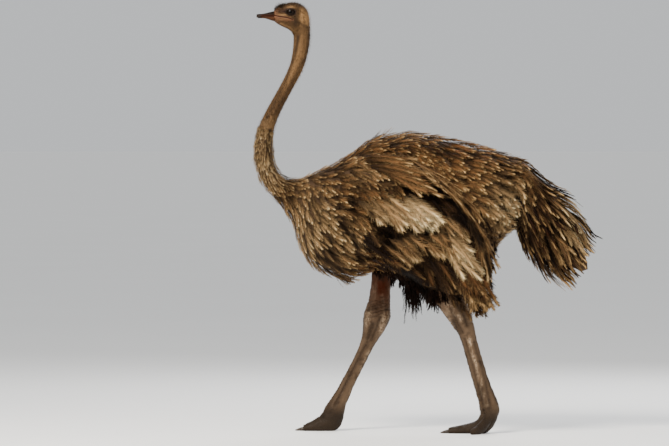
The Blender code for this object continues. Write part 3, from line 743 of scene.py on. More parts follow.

# %% [markdown]
# ## Markings
# Skin and coat wear the same markings, so a gap in the feathers shows skin of a fitting colour.
# They are soft spots, each a place seen from the side, a size and a strength, and strokes along
# the folds of neck, face and legs. Most dark spots, and the dark strokes in the neck's fold and on
# its rear side, are painted shade. A pale stroke down the neck is a painted highlight. The legs get
# a painted sheen on their ridges and painted shade in their grooves. One function gives every
# point of the skin and every feather its share of each pigment.

# %% Where each pigment lies
SPOTS = {            # x, z, size along x, size along z, strength
    "pale": [(-.504, 1.727, .019, .027, 1.), (-.50, 1.52, .15, .15, .38),
             (-.50, 1.28, .12, .06, .30), (-.592, 1.7400, .024, .0035, .7),
             (-.560, 1.7735, .018, .005, .7), (-.600, 1.7215, .020, .004, .5),
             (-.519, 1.762, .010, .012, .6), (-.62, 1.17, .16, .12, .60),
             (-.45, .84, .11, .15, .65), (-.29, .79, .06, .06, .4), (-.10, .905, .09, .055, .7),
             (.205, .705, .09, .06, .9), (.02, .78, .10, .07, .4), (.33, .93, .07, .12, .75),
             (.63, .90, .07, .11, .9), (.10, 1.25, .3, .03, .2), (-.24, 1.08, .10, .07, .35)],
    # The dark spots below the head are painted shade: under belly, breast and rump, between the
    # legs, where wing and tail meet the body, and in holes between feathers. Those on crown and
    # forehead are the bird's own colour.
    "dark": [(-.06, .60, .14, .12, 1.0), (.02, .46, .10, .14, .7), (-.10, .66, .08, .05, .9),
             (.472, 1.03, .065, .09, 1.), (.42, .84, .055, .13, .8), (.48, .72, .07, .08, .5),
             (.02, .885, .06, .04, .8), (-.15, .845, .05, .035, .9), (.27, .62, .06, .10, .5),
             (-.42, .70, .10, .04, .4), (-.566, 1.795, .06, .016, .85),
             (-.618, 1.777, .024, .013, .7), (-.521, 1.782, .013, .006, .9),
             (-.556, 1.712, .022, .010, .4), (.60, .68, .09, .08, .35),
             (-.308, .965, .014, .014, 1), (-.354, .944, .014, .014, 1),
             (-.296, .923, .014, .016, 1), (-.229, .919, .014, .014, .9),
             (-.338, .852, .016, .030, 1), (-.44, .935, .014, .02, .7), (-.30, .80, .02, .05, .8),
             (.50, .86, .045, .10, .6), (-.39, .77, .02, .04, .7), (-.56, .98, .05, .02, .6)],
    "rust": [(-.25, 1.08, .14, .12, .8), (.15, 1.20, .22, .07, .7), (.08, .62, .12, .07, .5),
             (-.19, .63, .07, .11, 1.)],
}
STROKES = [          # folds and lines of colour: pigment, points (x, z), half width, strength
    # Painted shade: the first two dark strokes lie in a lengthwise fold of the neck, the next two
    # on its shaded rear side.
    ("dark", [(-.530, 1.652), (-.541, 1.594), (-.556, 1.545)], .0068, 1.05),
    ("dark", [(-.556, 1.545), (-.578, 1.480), (-.606, 1.419), (-.634, 1.365),
              (-.662, 1.310)], .0062, .65),
    ("dark", [(-.505, 1.560), (-.526, 1.520), (-.556, 1.462), (-.594, 1.394),
              (-.630, 1.330)], .0095, .75),
    ("dark", [(-.4875, 1.665), (-.492, 1.60), (-.505, 1.555)], .0070, .85),
    # Painted highlight down the lit middle of the neck.
    ("pale", [(-.519, 1.655), (-.531, 1.590), (-.549, 1.530), (-.575, 1.460)], .0075, .35),
    ("dark", [(-.650, 1.262), (-.664, 1.200), (-.645, 1.130), (-.610, 1.080),
              (-.560, 1.055)], .0070, .9),
    ("dark", [(-.612, 1.262), (-.622, 1.180), (-.600, 1.110)], .0060, .9),
    ("pale", [(-.517, 1.739), (-.517, 1.703)], .0085, 1.2),
    ("pale", [(-.4955, 1.734), (-.4965, 1.703)], .0070, 1.1),
    ("dark", [(-.536, 1.711), (-.512, 1.698), (-.490, 1.686)], .0075, .75),
    # Painted shade in the opening of the ear.
    ("dark", [(-.5060, 1.730), (-.5055, 1.708)], .0030, .55),
    ("dark", [(-.5460, 1.742), (-.5440, 1.700)], .0105, 1.0),
    ("pale", [(-.605, 1.7045), (-.570, 1.6880), (-.548, 1.668)], .0045, .6),
    ("dark", [(-.584, 1.7640), (-.597, 1.7590), (-.612, 1.7530)], .0050, 1.1),
    ("rosy", [(-.640, 1.7285), (-.610, 1.7230), (-.565, 1.7150)], .0050, .42)]
# Painted shade on the legs: along their shaded edges, over the far leg and at the ankles.
LEG_SHADES = [       # where the legs are darker: points (x, z), half width, strength
    ([(.112, .470), (.121, .448), (.166, .300), (.212, .110)], .0120, .95),
    ([(.192, .531), (.262, .219), (.300, .130)], .0120, .95),
    ([(-.262, .500), (-.262, .440), (-.300, .325), (-.430, .060)], .0110, .90),
    ([(-.146, .470), (-.160, .420), (-.238, .310), (-.330, .100)], .0110, .80),
    ([(-.205, .500), (-.290, .290), (-.385, .090)], .0300, .35),
    ([(.225, .175), (.262, .085)], .0300, .70), ([(-.400, .080), (-.360, .050)], .0350, .70)]
BARE_LEG, HEAD_FROM = (0.60, 0.70), 1.5         # heights
LORE = (-.589, 1.7545, .018, .0074)        # the dark wedge in front of the eye
MOUTH, EAR = LINES["mouth"][0], LINES["ear"][0]


def soft_step(values, low, high):
    share = np.clip((values - low) / (high - low), 0, 1)
    return share * share * (3 - 2 * share)


def bell(away, wide, power=2):
    return np.exp(-(away / wide) ** power)


def markings(points):
    """The share of each pigment, from 0 to 1, at each point."""
    x, z = points[:, 0], points[:, 2]
    shares = {}
    for pigment, spots in SPOTS.items():
        clear = np.ones(len(points))
        for sx, sz, wide, high, strength in spots:
            clear *= 1 - strength * np.exp(-(((x - sx) / wide) ** 2 + ((z - sz) / high) ** 2))
        shares[pigment] = 1 - clear
    away, lore = away_from_line(points, MOUTH), away_from_line(points, LINES["lore"][0])
    shares["rosy"] = np.clip(bell(away, .0030) + .1 * bell(lore, .004), 0, 1)
    shares["mouth"] = bell(away, .0024)
    shares["rosy"] += (1 - shares["rosy"]) * .25 * soft_step(-x, .60, .635) * (z > HEAD_FROM)
    broken = .75 + .5 * coherent(points, .035, 11.0) * (z < 1.68)
    for pigment, course, wide, strength in STROKES:
        streak = np.clip(strength * broken * bell(away_from_line(points, course), wide), 0, 1)
        for other in ("pale", "dark"):
            shares[other] *= 1 - streak * (other != pigment)
        shares[pigment] += (1 - shares[pigment]) * streak
    shares["lore"] = np.exp(-((x - LORE[0]) / LORE[2]) ** 2 - ((z - LORE[1]) / LORE[3]) ** 2)
    shares["lid"] = bell(np.maximum(lid_ring(points) - LID_EDGE, 0), .26) * (z > HEAD_FROM)
    shares["leg"] = 1 - soft_step(z, *BARE_LEG)
    # Painted light on the legs: a sheen along ridges, shade in grooves, and more shade along
    # LEG_SHADES.
    for key, sign in (("sheen", -1), ("hollow", 1)):
        clear = np.ones(len(points))
        for forms in LEG_FORMS.values():
            for course, width, depth in forms:
                if depth * sign > 0:
                    near = bell(away_from_line(points, course), width * 1.9)
                    clear *= 1 - min(width / .0055, 1) * near
        shares[key] = 1 - clear
    for course, wide, strength in LEG_SHADES:
        near = bell(away_from_line(points, course), wide)
        shares["hollow"] += (1 - shares["hollow"]) * strength * near
    return shares


def give(mesh, name, values, kind="FLOAT"):
    """Writes one number or vector for each point of a mesh."""
    store = mesh.attributes.new(name, kind, "POINT")
    key = "vector" if kind == "FLOAT_VECTOR" else "value"
    store.data.foreach_set(key, np.ascontiguousarray(values, np.float32).ravel())


def points_of(mesh):
    flat = np.empty(len(mesh.vertices) * 3)
    mesh.vertices.foreach_get("co", flat)
    return flat.reshape(-1, 3)


for pigment, share in markings(points_of(skin.data)).items():
    give(skin.data, pigment, share)

# %% [markdown]
# ## The skin's finish
# The head and neck are brown under thin down, rosy along the mouth, paler round the ear, with
# painted shade in the mouth's slit, round the eyes and in the neck's fold. The legs are a greyer
# brown with a dull shine, a painted sheen on their ridges, painted shade in their grooves and
# along their shaded edges, and small round scales that are cells in the bump. Under the coat the
# skin is a dusky brown that stays in shadow.

# %% Skin material
NECK_BROWN, NECK_GREY, PALE_DOWN = (.042, .022, .010), (.060, .040, .022), (.310, .170, .070)
ROSY, CROWN_AND_SHADE, STRAND = (.170, .070, .038), (.030, .018, .010), (.075, .038, .016)
SPECK = (.05, .025, .012)
MOUTH_SHADE, LORE_TONE, LID_AND_SHADE_TONE = (.006, .002, .001), (.008, .002, .001), (.006, .003, .002)
LEG_GREY, LEG_RUST, LEG_DUST_AND_SHEEN = (.105, .066, .038), (.060, .012, .003), (.40, .29, .19)
LEG_MOTTLE_AND_SHADE, TOE_DARK = (.016, .009, .005), (.015, .010, .0065)
UNDER_COAT = (.045, .026, .014)


def paint_skin(t):
    place = t.place()
    z = place.axis(2)
    pale, dark, rust, rosy, mouth, lid, lore, leg, sheen, hollow = (
        t.attribute(n) for n in ("pale", "dark", "rust", "rosy", "mouth", "lid", "lore", "leg",
                                 "sheen", "hollow"))
    blotch = t.noise(60, 4, place)
    fine = t.noise(420, 3, place, (1, 1, .35))
    neck = t.mix(NECK_GREY, NECK_BROWN, z.between(1.26, 1.34))
    strands = t.noise(110, 3, place, (1, 1, .12)).between(.50, .68)
    neck = t.mix(neck, STRAND, strands * .7)
    # Pale includes a painted highlight down the neck. Dark gives the crown its own colour, and
    # painted shade in the neck's fold, on its rear side and in the ear.
    face = t.mix(t.mix(neck, PALE_DOWN, pale * .85), CROWN_AND_SHADE, dark * (.7 + .3 * blotch))
    face = t.mix(face, SPECK, fine.between(.52, .75) * .45)
    face = t.mix(face, ROSY, (rosy * 1.5).clamp() * .85)
    # Painted shade: a near-black line in the slit of the mouth.
    face = t.mix(face, MOUTH_SHADE, mouth.between(.25, .75) * .95)
    # The lids' own dark skin, with painted shade round the eye.
    face = t.mix(t.mix(face, LORE_TONE, lore * .95), LID_AND_SHADE_TONE, lid * .9)
    spotty = t.noise(70, 4, place, (1, 1, .4))
    leg_tone = t.mix(LEG_GREY, LEG_RUST, (rust * 1.1).clamp())
    speckle = t.noise(170, 3, place)
    # Painted sheen: pale speckles along the ridges of the legs.
    pale_flecks = (sheen * spotty.between(.35, .62) * speckle.between(.35, .6)).clamp()
    leg_tone = t.mix(leg_tone, LEG_DUST_AND_SHEEN, pale_flecks * .9)
    dusty = t.noise(16, 5, place, (1, 1, .3)).between(.52, .80)
    leg_tone = t.mix(leg_tone, LEG_DUST_AND_SHEEN, dusty * spotty * .8)
    # Painted shade in the legs' grooves and along their shaded edges.
    leg_tone = t.mix(leg_tone, LEG_MOTTLE_AND_SHADE, (hollow * (.50 + speckle)).clamp() * .85)
    leg_tone = t.mix(leg_tone, LEG_MOTTLE_AND_SHADE, t.noise(34, 4, place).between(.50, .74) * .6)
    leg_tone = t.mix(leg_tone, TOE_DARK, (1 - z.between(.050, .135)) * .9)
    colour = t.mix(face, UNDER_COAT, 1 - z.between(1.215, 1.262))
    colour = t.mix(colour, leg_tone, leg)
    cells = t.node("ShaderNodeTexVoronoi", {"feature": "DISTANCE_TO_EDGE"},
                   {"Vector": place, "Scale": 165.0})
    pores = t.node("ShaderNodeTexVoronoi", {}, {"Vector": place, "Scale": 460.0})
    height = (cells.between(0, .13) * leg * .0006 + t.noise(300, 3, place) * .0004
              + (fine * .0005 - pores.between(0, .5) * .0003) * (1 - leg))
    rough = .46 + .28 * (1 - leg) + .2 * (blotch - .5)
    return colour, height, rough


skin_finish = finish_of("skin", paint_skin, Specular_IOR_Level=0.08)
skin.data.materials.clear()
skin.data.materials.append(skin_finish)
print("skin finish:", len(skin_finish.node_tree.nodes), "nodes")

# %% [markdown]
# ## Eyes and lids
# The eye is the size of a real one, a full ball with a clear bulge over the iris. Most of it is a
# very dark brown iris with a black pupil, so it reads as black with one bright glint. The lids'
# rims are thin tubes laid over the ball round the opening, and the upper lid has short lashes.

# %% Eyeballs
PUPIL, IRIS = (.0052, .0058), (.0120, .0132)     # radii between which each ends
PUPIL_TONE, RIM_TONE = (.001, .001, .001), (.003, .002, .001)
IRIS_TONE, FIBRE_TONE = (.0080, .0040, .0020), (.0040, .0020, .0012)


def paint_eye(t):
    place = t.place()
    away = ((place.axis(0) - EYE[0]) ** 2.0 + (place.axis(2) - EYE[2]) ** 2.0) ** 0.5
    iris = t.mix(IRIS_TONE, FIBRE_TONE, t.noise(500, 2, place).between(.4, .6))
    return (t.mix(t.mix(PUPIL_TONE, iris, away.between(*PUPIL)), RIM_TONE, away.between(*IRIS)),)


def ball(radius, rings, sides):
    """Rings of points on a ball whose poles point out of the head along y."""
    tilt, turn = np.linspace(0, math.pi, rings + 1)[1:-1], turns(sides)
    return np.stack([np.outer(np.sin(tilt), np.cos(turn)), np.outer(np.cos(tilt), np.ones(sides)),
                     np.outer(np.sin(tilt), np.sin(turn))], -1) * radius


eye_finish = finish_of("eye_dark", paint_eye, 0.06, Specular_IOR_Level=0.03, Coat_Weight=0.06,
                       Coat_Roughness=0.02)
CORNEA_WIDE, CORNEA_HIGH, EYE_RINGS, EYE_SIDES = 0.013, 0.0008, 40, 56
for side, sign in SIDES.items():
    rings = ball(EYE_RADIUS, EYE_RINGS, EYE_SIDES)
    bulge = np.clip(1 - (np.hypot(rings[..., 0], rings[..., 2]) / CORNEA_WIDE) ** 2, 0, 1)
    rings[..., 1] += np.sign(rings[..., 1]) * (rings[..., 1] * sign > 0) * bulge * CORNEA_HIGH
    eyeball = tube(f"eyeball_{side}", rings + EYE * (1, sign, 1), eye_finish, (.00005, .00005))
    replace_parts(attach(eyeball, "root"), f"eye_{side}")

# %% Lid rims
LID_TUBE, LID_FOLD, LID_POINTS, LID_SIDES = 0.0009, 0.0006, 72, 10
lid_finish = finish_of("lid_skin", lambda t: (
    t.mix((.009, .005, .003), (.030, .015, .008), t.noise(700, 3).between(.45, .7)),
    t.noise(900, 2) * .0004), 0.55, Specular_IOR_Level=0.08)


def on_ball(x, z, sign, radius):
    """Points on the eyeball, or a little above it, from where they are seen from the side."""
    return np.stack([x, sign * np.sqrt(radius ** 2 - x ** 2 - z ** 2), z], 1)


round_lid, turn = turns(LID_POINTS), turns(LID_SIDES)[None, :, None]
for side, sign in SIDES.items():
    upper = np.clip(np.sin(round_lid), 0, 1)
    x = LID_LONG * 1.03 * np.cos(round_lid)
    z = LID_HIGH * (1.04 - .07 * upper) * np.sin(round_lid) - .0006 * upper
    rim = on_ball(x, z, sign, EYE_RADIUS + LID_FOLD)
    outwards = unit(rim)
    across = unit(np.cross(outwards, np.roll(rim, -1, 0) - np.roll(rim, 1, 0)))
    thick = (LID_TUBE * (1 + .45 * upper))[:, None, None]
    rings = rim[:, None] + thick * (outwards[:, None] * np.cos(turn)
                                    + across[:, None] * 1.3 * np.sin(turn))
    i, j = np.meshgrid(np.arange(LID_POINTS), np.arange(LID_SIDES), indexing="ij")
    k, m = (i + 1) % LID_POINTS * LID_SIDES, (j + 1) % LID_SIDES
    faces = np.stack([i * LID_SIDES + j, k + j, k + m, i * LID_SIDES + m], -1).reshape(-1, 4)
    lid = new_piece(f"lid_{side}", (rings + EYE * (1, sign, 1)).reshape(-1, 3), faces, lid_finish)
    point_outwards(lid)
    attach(lid, "root")

# %% [markdown]
# ## The bill
# The bill is low and broad like a duck's, with a rounded nail at the tip and open slots for
# nostrils. Its two halves are lofted from their profiles: at each place along it a top, a bottom
# and half a width. The ring is domed above and nearly flat below, so the halves close on a line.

# %% Bill
BILL_TOP = [(-.612, 1.7585, 1.7375, .0250), (-.6353, 1.7548, 1.7366, .0258),
            (-.6548, 1.7505, 1.7368, .0250), (-.6708, 1.7466, 1.7368, .0232),
            (-.6860, 1.7452, 1.7352, .0200), (-.6985, 1.7446, 1.7312, .0165),
            (-.7062, 1.7428, 1.7318, .0105)]
BILL_LOW = [(-.612, 1.7352, 1.7150, .0240), (-.6338, 1.7358, 1.7145, .0248),
            (-.6548, 1.7362, 1.7208, .0238), (-.6708, 1.7362, 1.7256, .0212),
            (-.6858, 1.7346, 1.7268, .0165), (-.7000, 1.7322, 1.7266, .0110)]
BILL_ROWS, BILL_COLUMNS = 110, 64
NOSTRIL, NOSTRIL_LONG, NOSTRIL_HIGH, NOSTRIL_DEEP = (-.6455, 1.7475), .0072, .0021, .0045
BILL_WIDEST = 0.14             # where in a half's height it is widest, from where the halves meet
NAIL_FROM, RIDGE, GROOVE, NOSTRIL_RIM = -.686, .0011, .0007, .0006
HORN_DARK, HORN, LOWER_HORN = (.006, .0025, .0012), (.018, .007, .003), (.060, .023, .010)
SEAM, BILL_ROOT, NAIL = (.028, .006, .003), (.030, .012, .004), (.016, .011, .009)
NOSTRIL_SHADE, WORN_HORN = (.010, .006, .005), (.05, .03, .02)


def bill_rings(profile, upper):
    """Rings of a half of the bill, domed on its outer side."""
    row = soft_line(profile, np.linspace(0, len(profile) - 1, BILL_ROWS))
    x, top, low, wide = (row[:, [k]] for k in range(4))
    turn, high = turns(BILL_COLUMNS), top - low
    c, s = np.cos(turn), np.sin(turn)
    outer = np.where((c > 0) == upper, np.abs(c) ** 0.80, 0.35 * np.abs(c) ** 0.6)
    z = (low if upper else top) + high * (np.sign(c) * outer)[None] * (1 - BILL_WIDEST)
    z += (BILL_WIDEST if upper else -BILL_WIDEST) * high
    y = wide * (np.sign(s) * np.abs(s) ** 0.82)[None]
    rings = np.stack([np.broadcast_to(x, y.shape), y, z], -1)
    if upper:
        rings[..., 2] += RIDGE * (bell(y, .0045) * (c > 0) * soft_step(x, -.690, -.670))
        rings[..., 2] -= GROOVE * (bell(x - NAIL_FROM - .004 * np.abs(s), .0011) * (c > -.2))
        slot = np.hypot((rings[..., 0] - NOSTRIL[0]) / NOSTRIL_LONG,
                        (rings[..., 2] - NOSTRIL[1]) / NOSTRIL_HIGH)
        beside = np.sign(s) * ((np.abs(s) > .3) * (c > 0))
        rings[..., 1] -= beside * NOSTRIL_DEEP * np.exp(-slot ** 4)
        rings[..., 1] += beside * NOSTRIL_RIM * bell(slot - 1.6, .35)
    return rings


def paint_bill(t):
    place = t.place()
    x, z = place.axis(0), place.axis(2)
    grain = t.noise(90, 4, place, (.25, 1, 1))
    horn = t.mix(HORN_DARK, HORN, grain.between(.4, .7))
    horn = t.mix(horn, LOWER_HORN, (1 - z.between(1.728, 1.736)) * .8)
    horn = t.mix(horn, SEAM, (1 - ((z - 1.7366) ** 2.0 * 90000.0).clamp()) * .85)
    horn = t.mix(horn, BILL_ROOT, x.between(-.640, -.618))
    horn = t.mix(horn, NAIL, 1 - x.between(-.692, -.682))
    # Painted shade in the nostril's slot.
    slot = (((x - NOSTRIL[0]) / (NOSTRIL_LONG * 1.05)) ** 2.0
            + ((z - NOSTRIL[1]) / (NOSTRIL_HIGH * 1.25)) ** 2.0)
    horn = t.mix(horn, NOSTRIL_SHADE, 1 - slot.between(.5, 1.1))
    pale_flecks = t.noise(260, 3, place).between(.55, .75)
    return t.mix(horn, WORN_HORN, pale_flecks * .4), grain * .0006


bill_finish = finish_of("bill_horn", paint_bill, 0.55, Specular_IOR_Level=0.04)
for part, profile, upper in (("upper", BILL_TOP, True), ("lower", BILL_LOW, False)):
    bill = tube(f"beak_{part}", bill_rings(profile, upper), bill_finish, (.001, .0009))
    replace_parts(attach(bill, "root"), f"bill_{part}")
print("bill:", BILL_ROWS, "rings a half")

# %% [markdown]
# ## Claws
# Each big toe ends in a thick blunt claw, worn by walking. The frame has its size; the piece here
# is the same claw with a smooth curve and the fine lengthwise lines of worn horn.

# %% Claws
CLAW_COLUMNS, CLAW_ROOM = 32, .0006        # room: how far from its ends it is measured
CLAW_DARK, CLAW_PALE = (.030, .022, .017), (.10, .075, .055)


def paint_claw(t):
    lines = t.noise(160, 3, None, (.12, 1, 1))
    return t.mix(CLAW_DARK, CLAW_PALE, lines.between(.45, .75)), lines * .0012


claw_finish = finish_of("claw_horn", paint_claw, 0.42, Specular_IOR_Level=0.2)
for side, sign in SIDES.items():
    low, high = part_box(f"big_claw_{side}")
    long, middle = high.x - low.x - 2 * CLAW_ROOM, (low + high) / 2
    stations = [(high.x - CLAW_ROOM - long * k / 5, middle.y, .0085 - .0025 * (k / 5), 0, .03)
                for k in range(6)]
    claw = measure(stations, [f"big_claw_{side}"], CLAW_COLUMNS, lambda t: .001 + 0 * t, (1.5, 1.5))
    made = tube(f"claw_{side}", claw["outer"], claw_finish, (.004, .001))
    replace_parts(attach(made, "root"), f"big_claw_{side}")

# %% [markdown]
# ## How a feather is grown
# An ostrich feather has no hooks to zip its barbs together, so it is a soft comb: a thin shaft with
# loose locks of barbs on both sides. Thousands are needed, so they come from one Geometry Nodes
# tree. Its input is a set of shaft lines, whose points say which way is along and up, and how long
# and how wide the locks are there. The tree puts a tapered lock on each side of each point, bends
# it towards the tip, adds the shaft, and gives every feather its small patch in the `OFBake` map.

# %% The feather tree
PATCH = 0.003                  # the side of one feather's patch in the map
LEAST_BARB, RIPPLE_SCALE = 0.0008, 38.0
FACTS = ("barb", "lock", "slant", "along", "tone", "pale", "dark", "rust", "quill")
FEATHER_SIZES = {              # the tree's named inputs and their usual values
    "Flatness": ("NodeSocketFloat", 0.16), "Sweep": ("NodeSocketFloat", 0.20),
    "Droop": ("NodeSocketFloat", 0.10), "Unruly": ("NodeSocketFloat", 0.16),
    "Ripple": ("NodeSocketFloat", 0.03), "Seed": ("NodeSocketInt", 1),
    "Finish": ("NodeSocketMaterial", None),
}


def feather_tree():
    tree = bpy.data.node_groups.new("grow feathers", "GeometryNodeTree")
    tree.interface.new_socket("Lines", in_out="INPUT", socket_type="NodeSocketGeometry")
    for name, (kind, usual) in FEATHER_SIZES.items():
        socket = tree.interface.new_socket(name, in_out="INPUT", socket_type=kind)
        if usual is not None:
            socket.default_value = usual
    tree.interface.new_socket("Coat", in_out="OUTPUT", socket_type="NodeSocketGeometry")
    t = Tree(tree)
    entry = t.node("NodeGroupInput")
    given = {socket.name: Value(t, socket) for socket in entry.socket.node.outputs}

    def fact(name, kind="FLOAT"):
        return t.node("GeometryNodeInputNamedAttribute", {"data_type": kind}, {"Name": name})

    def chance(low, high, step):
        return t.node("FunctionNodeRandomValue", {"data_type": "FLOAT"},
                      {2: low, 3: high, "Seed": given["Seed"] + step}, out=1)

    def store(mesh, name, value, kind="FLOAT", domain="POINT"):
        return t.node("GeometryNodeStoreNamedAttribute", {"data_type": kind, "domain": domain},
                      {"Geometry": mesh, "Name": name, "Value": value})

    place = t.node("GeometryNodeInputPosition")
    height = place.axis(2)
    lock = t.node("GeometryNodeMeshCone", {"fill_type": "NGON"},
                  {"Vertices": 3, "Radius Bottom": 0.5, "Radius Top": 0.0, "Depth": 1.0})
    fuller = 0.75 + height * 1.1
    leaf = t.node("ShaderNodeCombineXYZ", {}, {0: fuller, 1: fuller, 2: 1.0})
    lock = t.node("GeometryNodeSetPosition", {}, {"Geometry": lock, "Position": place * leaf})
    lock = store(lock, "out", height)

    along, up = fact("tangent", "FLOAT_VECTOR"), fact("up", "FLOAT_VECTOR")
    sides = t.node("GeometryNodeJoinGeometry")
    across = t.node("ShaderNodeVectorMath", {"operation": "CROSS_PRODUCT"}, {0: up, 1: along})
    for step, side in ((1, 1.0), (5, -1.0)):
        slant = fact("slant") + chance(-1.0, 1.0, step) * given["Unruly"]
        course = (along * t.node("ShaderNodeMath", {"operation": "COSINE"}, {0: slant})
                  + across * (t.node("ShaderNodeMath", {"operation": "SINE"}, {0: slant}) * side)
                  + up * (chance(-0.4, 1.0, step + 1) * given["Unruly"]))
        turned = t.node("FunctionNodeAxesToRotation", {"primary_axis": "Z", "secondary_axis": "X"},
                        {0: course, 1: up})
        width = fact("lock") * chance(0.7, 1.25, step + 2)
        size = t.node("ShaderNodeCombineXYZ", {}, {0: width * given["Flatness"], 1: width,
                                                   2: fact("barb") * chance(0.60, 1.14, step + 3)})
        half = t.node("GeometryNodeInstanceOnPoints", {}, {
            "Points": given["Lines"], "Instance": lock, "Rotation": turned, "Scale": size,
            "Selection": t.node("FunctionNodeCompare", {"operation": "GREATER_THAN"},
                                {0: fact("barb"), 1: LEAST_BARB})})
        half = store(half, "shade", chance(0.0, 1.0, step + 9), domain="INSTANCE")
        tree.links.new(half.socket, sides.socket.node.inputs[0])
    barbs = t.node("GeometryNodeRealizeInstances", {}, {0: sides})
    out = fact("out")
    ripple = t.node("ShaderNodeTexNoise", {},
                    {"Vector": place, "Scale": RIPPLE_SCALE, "Detail": 1.0}, out=1) - (.5, .5, .5)
    bend = (along * given["Sweep"] - up * given["Droop"]) * (out * out * fact("barb"))
    bend = bend + ripple * (given["Ripple"] * out)
    barbs = t.node("GeometryNodeSetPosition", {}, {"Geometry": barbs, "Offset": bend})

    quilled = t.node("FunctionNodeCompare", {"operation": "GREATER_THAN"},
                     {0: fact("quill"), 1: 0.00001})
    shaft = t.node("GeometryNodeMeshToCurve", {}, {"Mesh": given["Lines"], "Selection": quilled})
    round_shaft = t.node("GeometryNodeCurvePrimitiveCircle", {}, {"Resolution": 3, "Radius": 1.0})
    shaft = t.node("GeometryNodeCurveToMesh", {}, {
        "Curve": shaft, "Profile Curve": round_shaft,
        "Scale": fact("quill") * (1.05 - fact("along")), "Fill Caps": True})
    shaft = store(shaft, "shade", 0.9)
    coat = t.node("GeometryNodeJoinGeometry")
    for piece in (shaft, barbs):
        tree.links.new(piece.socket, coat.socket.node.inputs[0])
    patch = fact("root", "FLOAT_VECTOR") + t.node("ShaderNodeCombineXYZ", {}, {
        0: fact("along") * PATCH, 1: fact("out") * PATCH})
    coat = store(coat, "OFBake", patch, "FLOAT2", "CORNER")
    for name in ("tangent", "up", "barb", "lock", "slant", "root", "quill"):
        coat = t.node("GeometryNodeRemoveAttribute", {}, {"Geometry": coat, "Name": name})
    coat = t.node("GeometryNodeSetShadeSmooth", {}, {"Geometry": coat})
    coat = t.node("GeometryNodeSetMaterial", {}, {"Geometry": coat, "Material": given["Finish"]})
    t.node("NodeGroupOutput", {}, {0: coat})
    return tree


FEATHERS = feather_tree()
print("feather tree:", len(FEATHERS.nodes), "nodes")

# %% [markdown]
# The shaft lines of one piece of coat go into one mesh of loose edges. `grow` runs the tree on it,
# turns the result into a plain mesh, and hangs it on the frame.

# %% Lines of shafts, and the coat grown on them
coat_count = {}
GAPS = [             # where feathers part and show shadow: from (x, z) to (x, z), half width
    (-.317, .973, -.300, .956, .0100), (-.363, .944, -.346, .944, .0085),
    (-.304, .931, -.288, .919, .0090), (-.233, .931, -.221, .906, .0090),
    (-.350, .873, -.321, .827, .0080), (-.304, .810, -.279, .765, .0060),
    (-.404, .760, -.375, .731, .0060), (-.288, .735, -.259, .719, .0055),
    (-.379, .985, -.363, .973, .0060), (-.421, .827, -.396, .794, .0050),
    (-.242, .769, -.217, .744, .0060), (-.192, .838, -.117, .825, .0120),
    (-.175, .802, -.133, .777, .0110), (.008, .877, -.009, .802, .0090),
    (.008, 1.002, .058, .952, .0075), (.108, .910, .167, .869, .0120),
    (.183, .852, .225, .777, .0120), (.241, .752, .266, .656, .0075),
    (.071, .852, .096, .777, .0060), (-.009, .777, .025, .727, .0060),
    (.190, .585, .245, .552, .0090), (-.108, .685, -.005, .594, .0100),
    (.033, .590, .160, .556, .0060), (-.025, 1.073, .100, .969, .0060),
    (.100, .969, .183, .877, .0075), (.183, .877, .233, .802, .0075)]
GAP_DEEP, GAP_WIDE, GAP_MARGIN = 0.010, 1.3, .004
HALF_WIDTH = 0.322   # beyond this, feathers are pressed flatter


def lines_mesh(paths, ups, facts, root):
    """A mesh of one line for each path (n, k, 3), with its facts on every point. A fact is one
    number, one for each path, or a row of k."""
    n, k = paths.shape[:2]
    mesh = bpy.data.meshes.new("lines")
    first = (np.arange(n) * k)[:, None] + np.arange(k - 1)
    mesh.from_pydata([tuple(p) for p in paths.reshape(-1, 3)],
                     np.stack([first, first + 1], -1).reshape(-1, 2).tolist(), [])
    tangent = unit(np.gradient(paths, axis=1))
    up = unit(ups - tangent * (ups * tangent).sum(-1, keepdims=True))
    give(mesh, "tangent", tangent, "FLOAT_VECTOR")
    give(mesh, "up", up, "FLOAT_VECTOR")
    give(mesh, "root", np.repeat(np.pad(root, ((0, 0), (0, 1))), k, 0), "FLOAT_VECTOR")
    marks = markings(paths[:, int(k * .6)])
    marks = {name: marks[name] for name in ("pale", "dark", "rust")}
    given = {"quill": 0.0, **marks, **facts, "along": np.linspace(0, 1, k)[None]}
    for name in FACTS:
        value = np.asarray(given[name], float)
        give(mesh, name, np.broadcast_to(value[:, None] if value.ndim == 1 else value, (n, k)))
    return mesh


def gaps_from(points):
    """For each gap: how far each point is from it, and its half width."""
    for x0, z0, x1, z1, width in GAPS:
        yield away_from_line(points, [(x0, z0), (x1, z1)]), width


def part_feathers(mesh):
    """Paints shade onto a piece of coat where its feathers part, and sinks it there."""
    points, clear = points_of(mesh), 1.0
    for away, width in gaps_from(points):
        clear = clear * (1 - bell(away, width * GAP_WIDE, 4))
    give(mesh, "gap", 1 - clear)
    out = np.abs(points[:, 1])
    pressed = np.maximum(out - HALF_WIDTH, 0) * .5 + (1 - clear) * GAP_DEEP
    points[:, 1] -= np.sign(points[:, 1]) * pressed
    mesh.vertices.foreach_set("co", points.ravel())


def before_gaps(paths):
    """How much of each shaft to keep, so that it ends before the first gap it meets."""
    free = np.ones(paths.shape[:2], bool)
    for away, width in gaps_from(paths):
        free &= away > width + GAP_MARGIN
    share = np.argmin(free, 1) / free.shape[1]
    return np.where(free.all(1) | (share < .3), 1.0, np.clip(share, .5, 1))


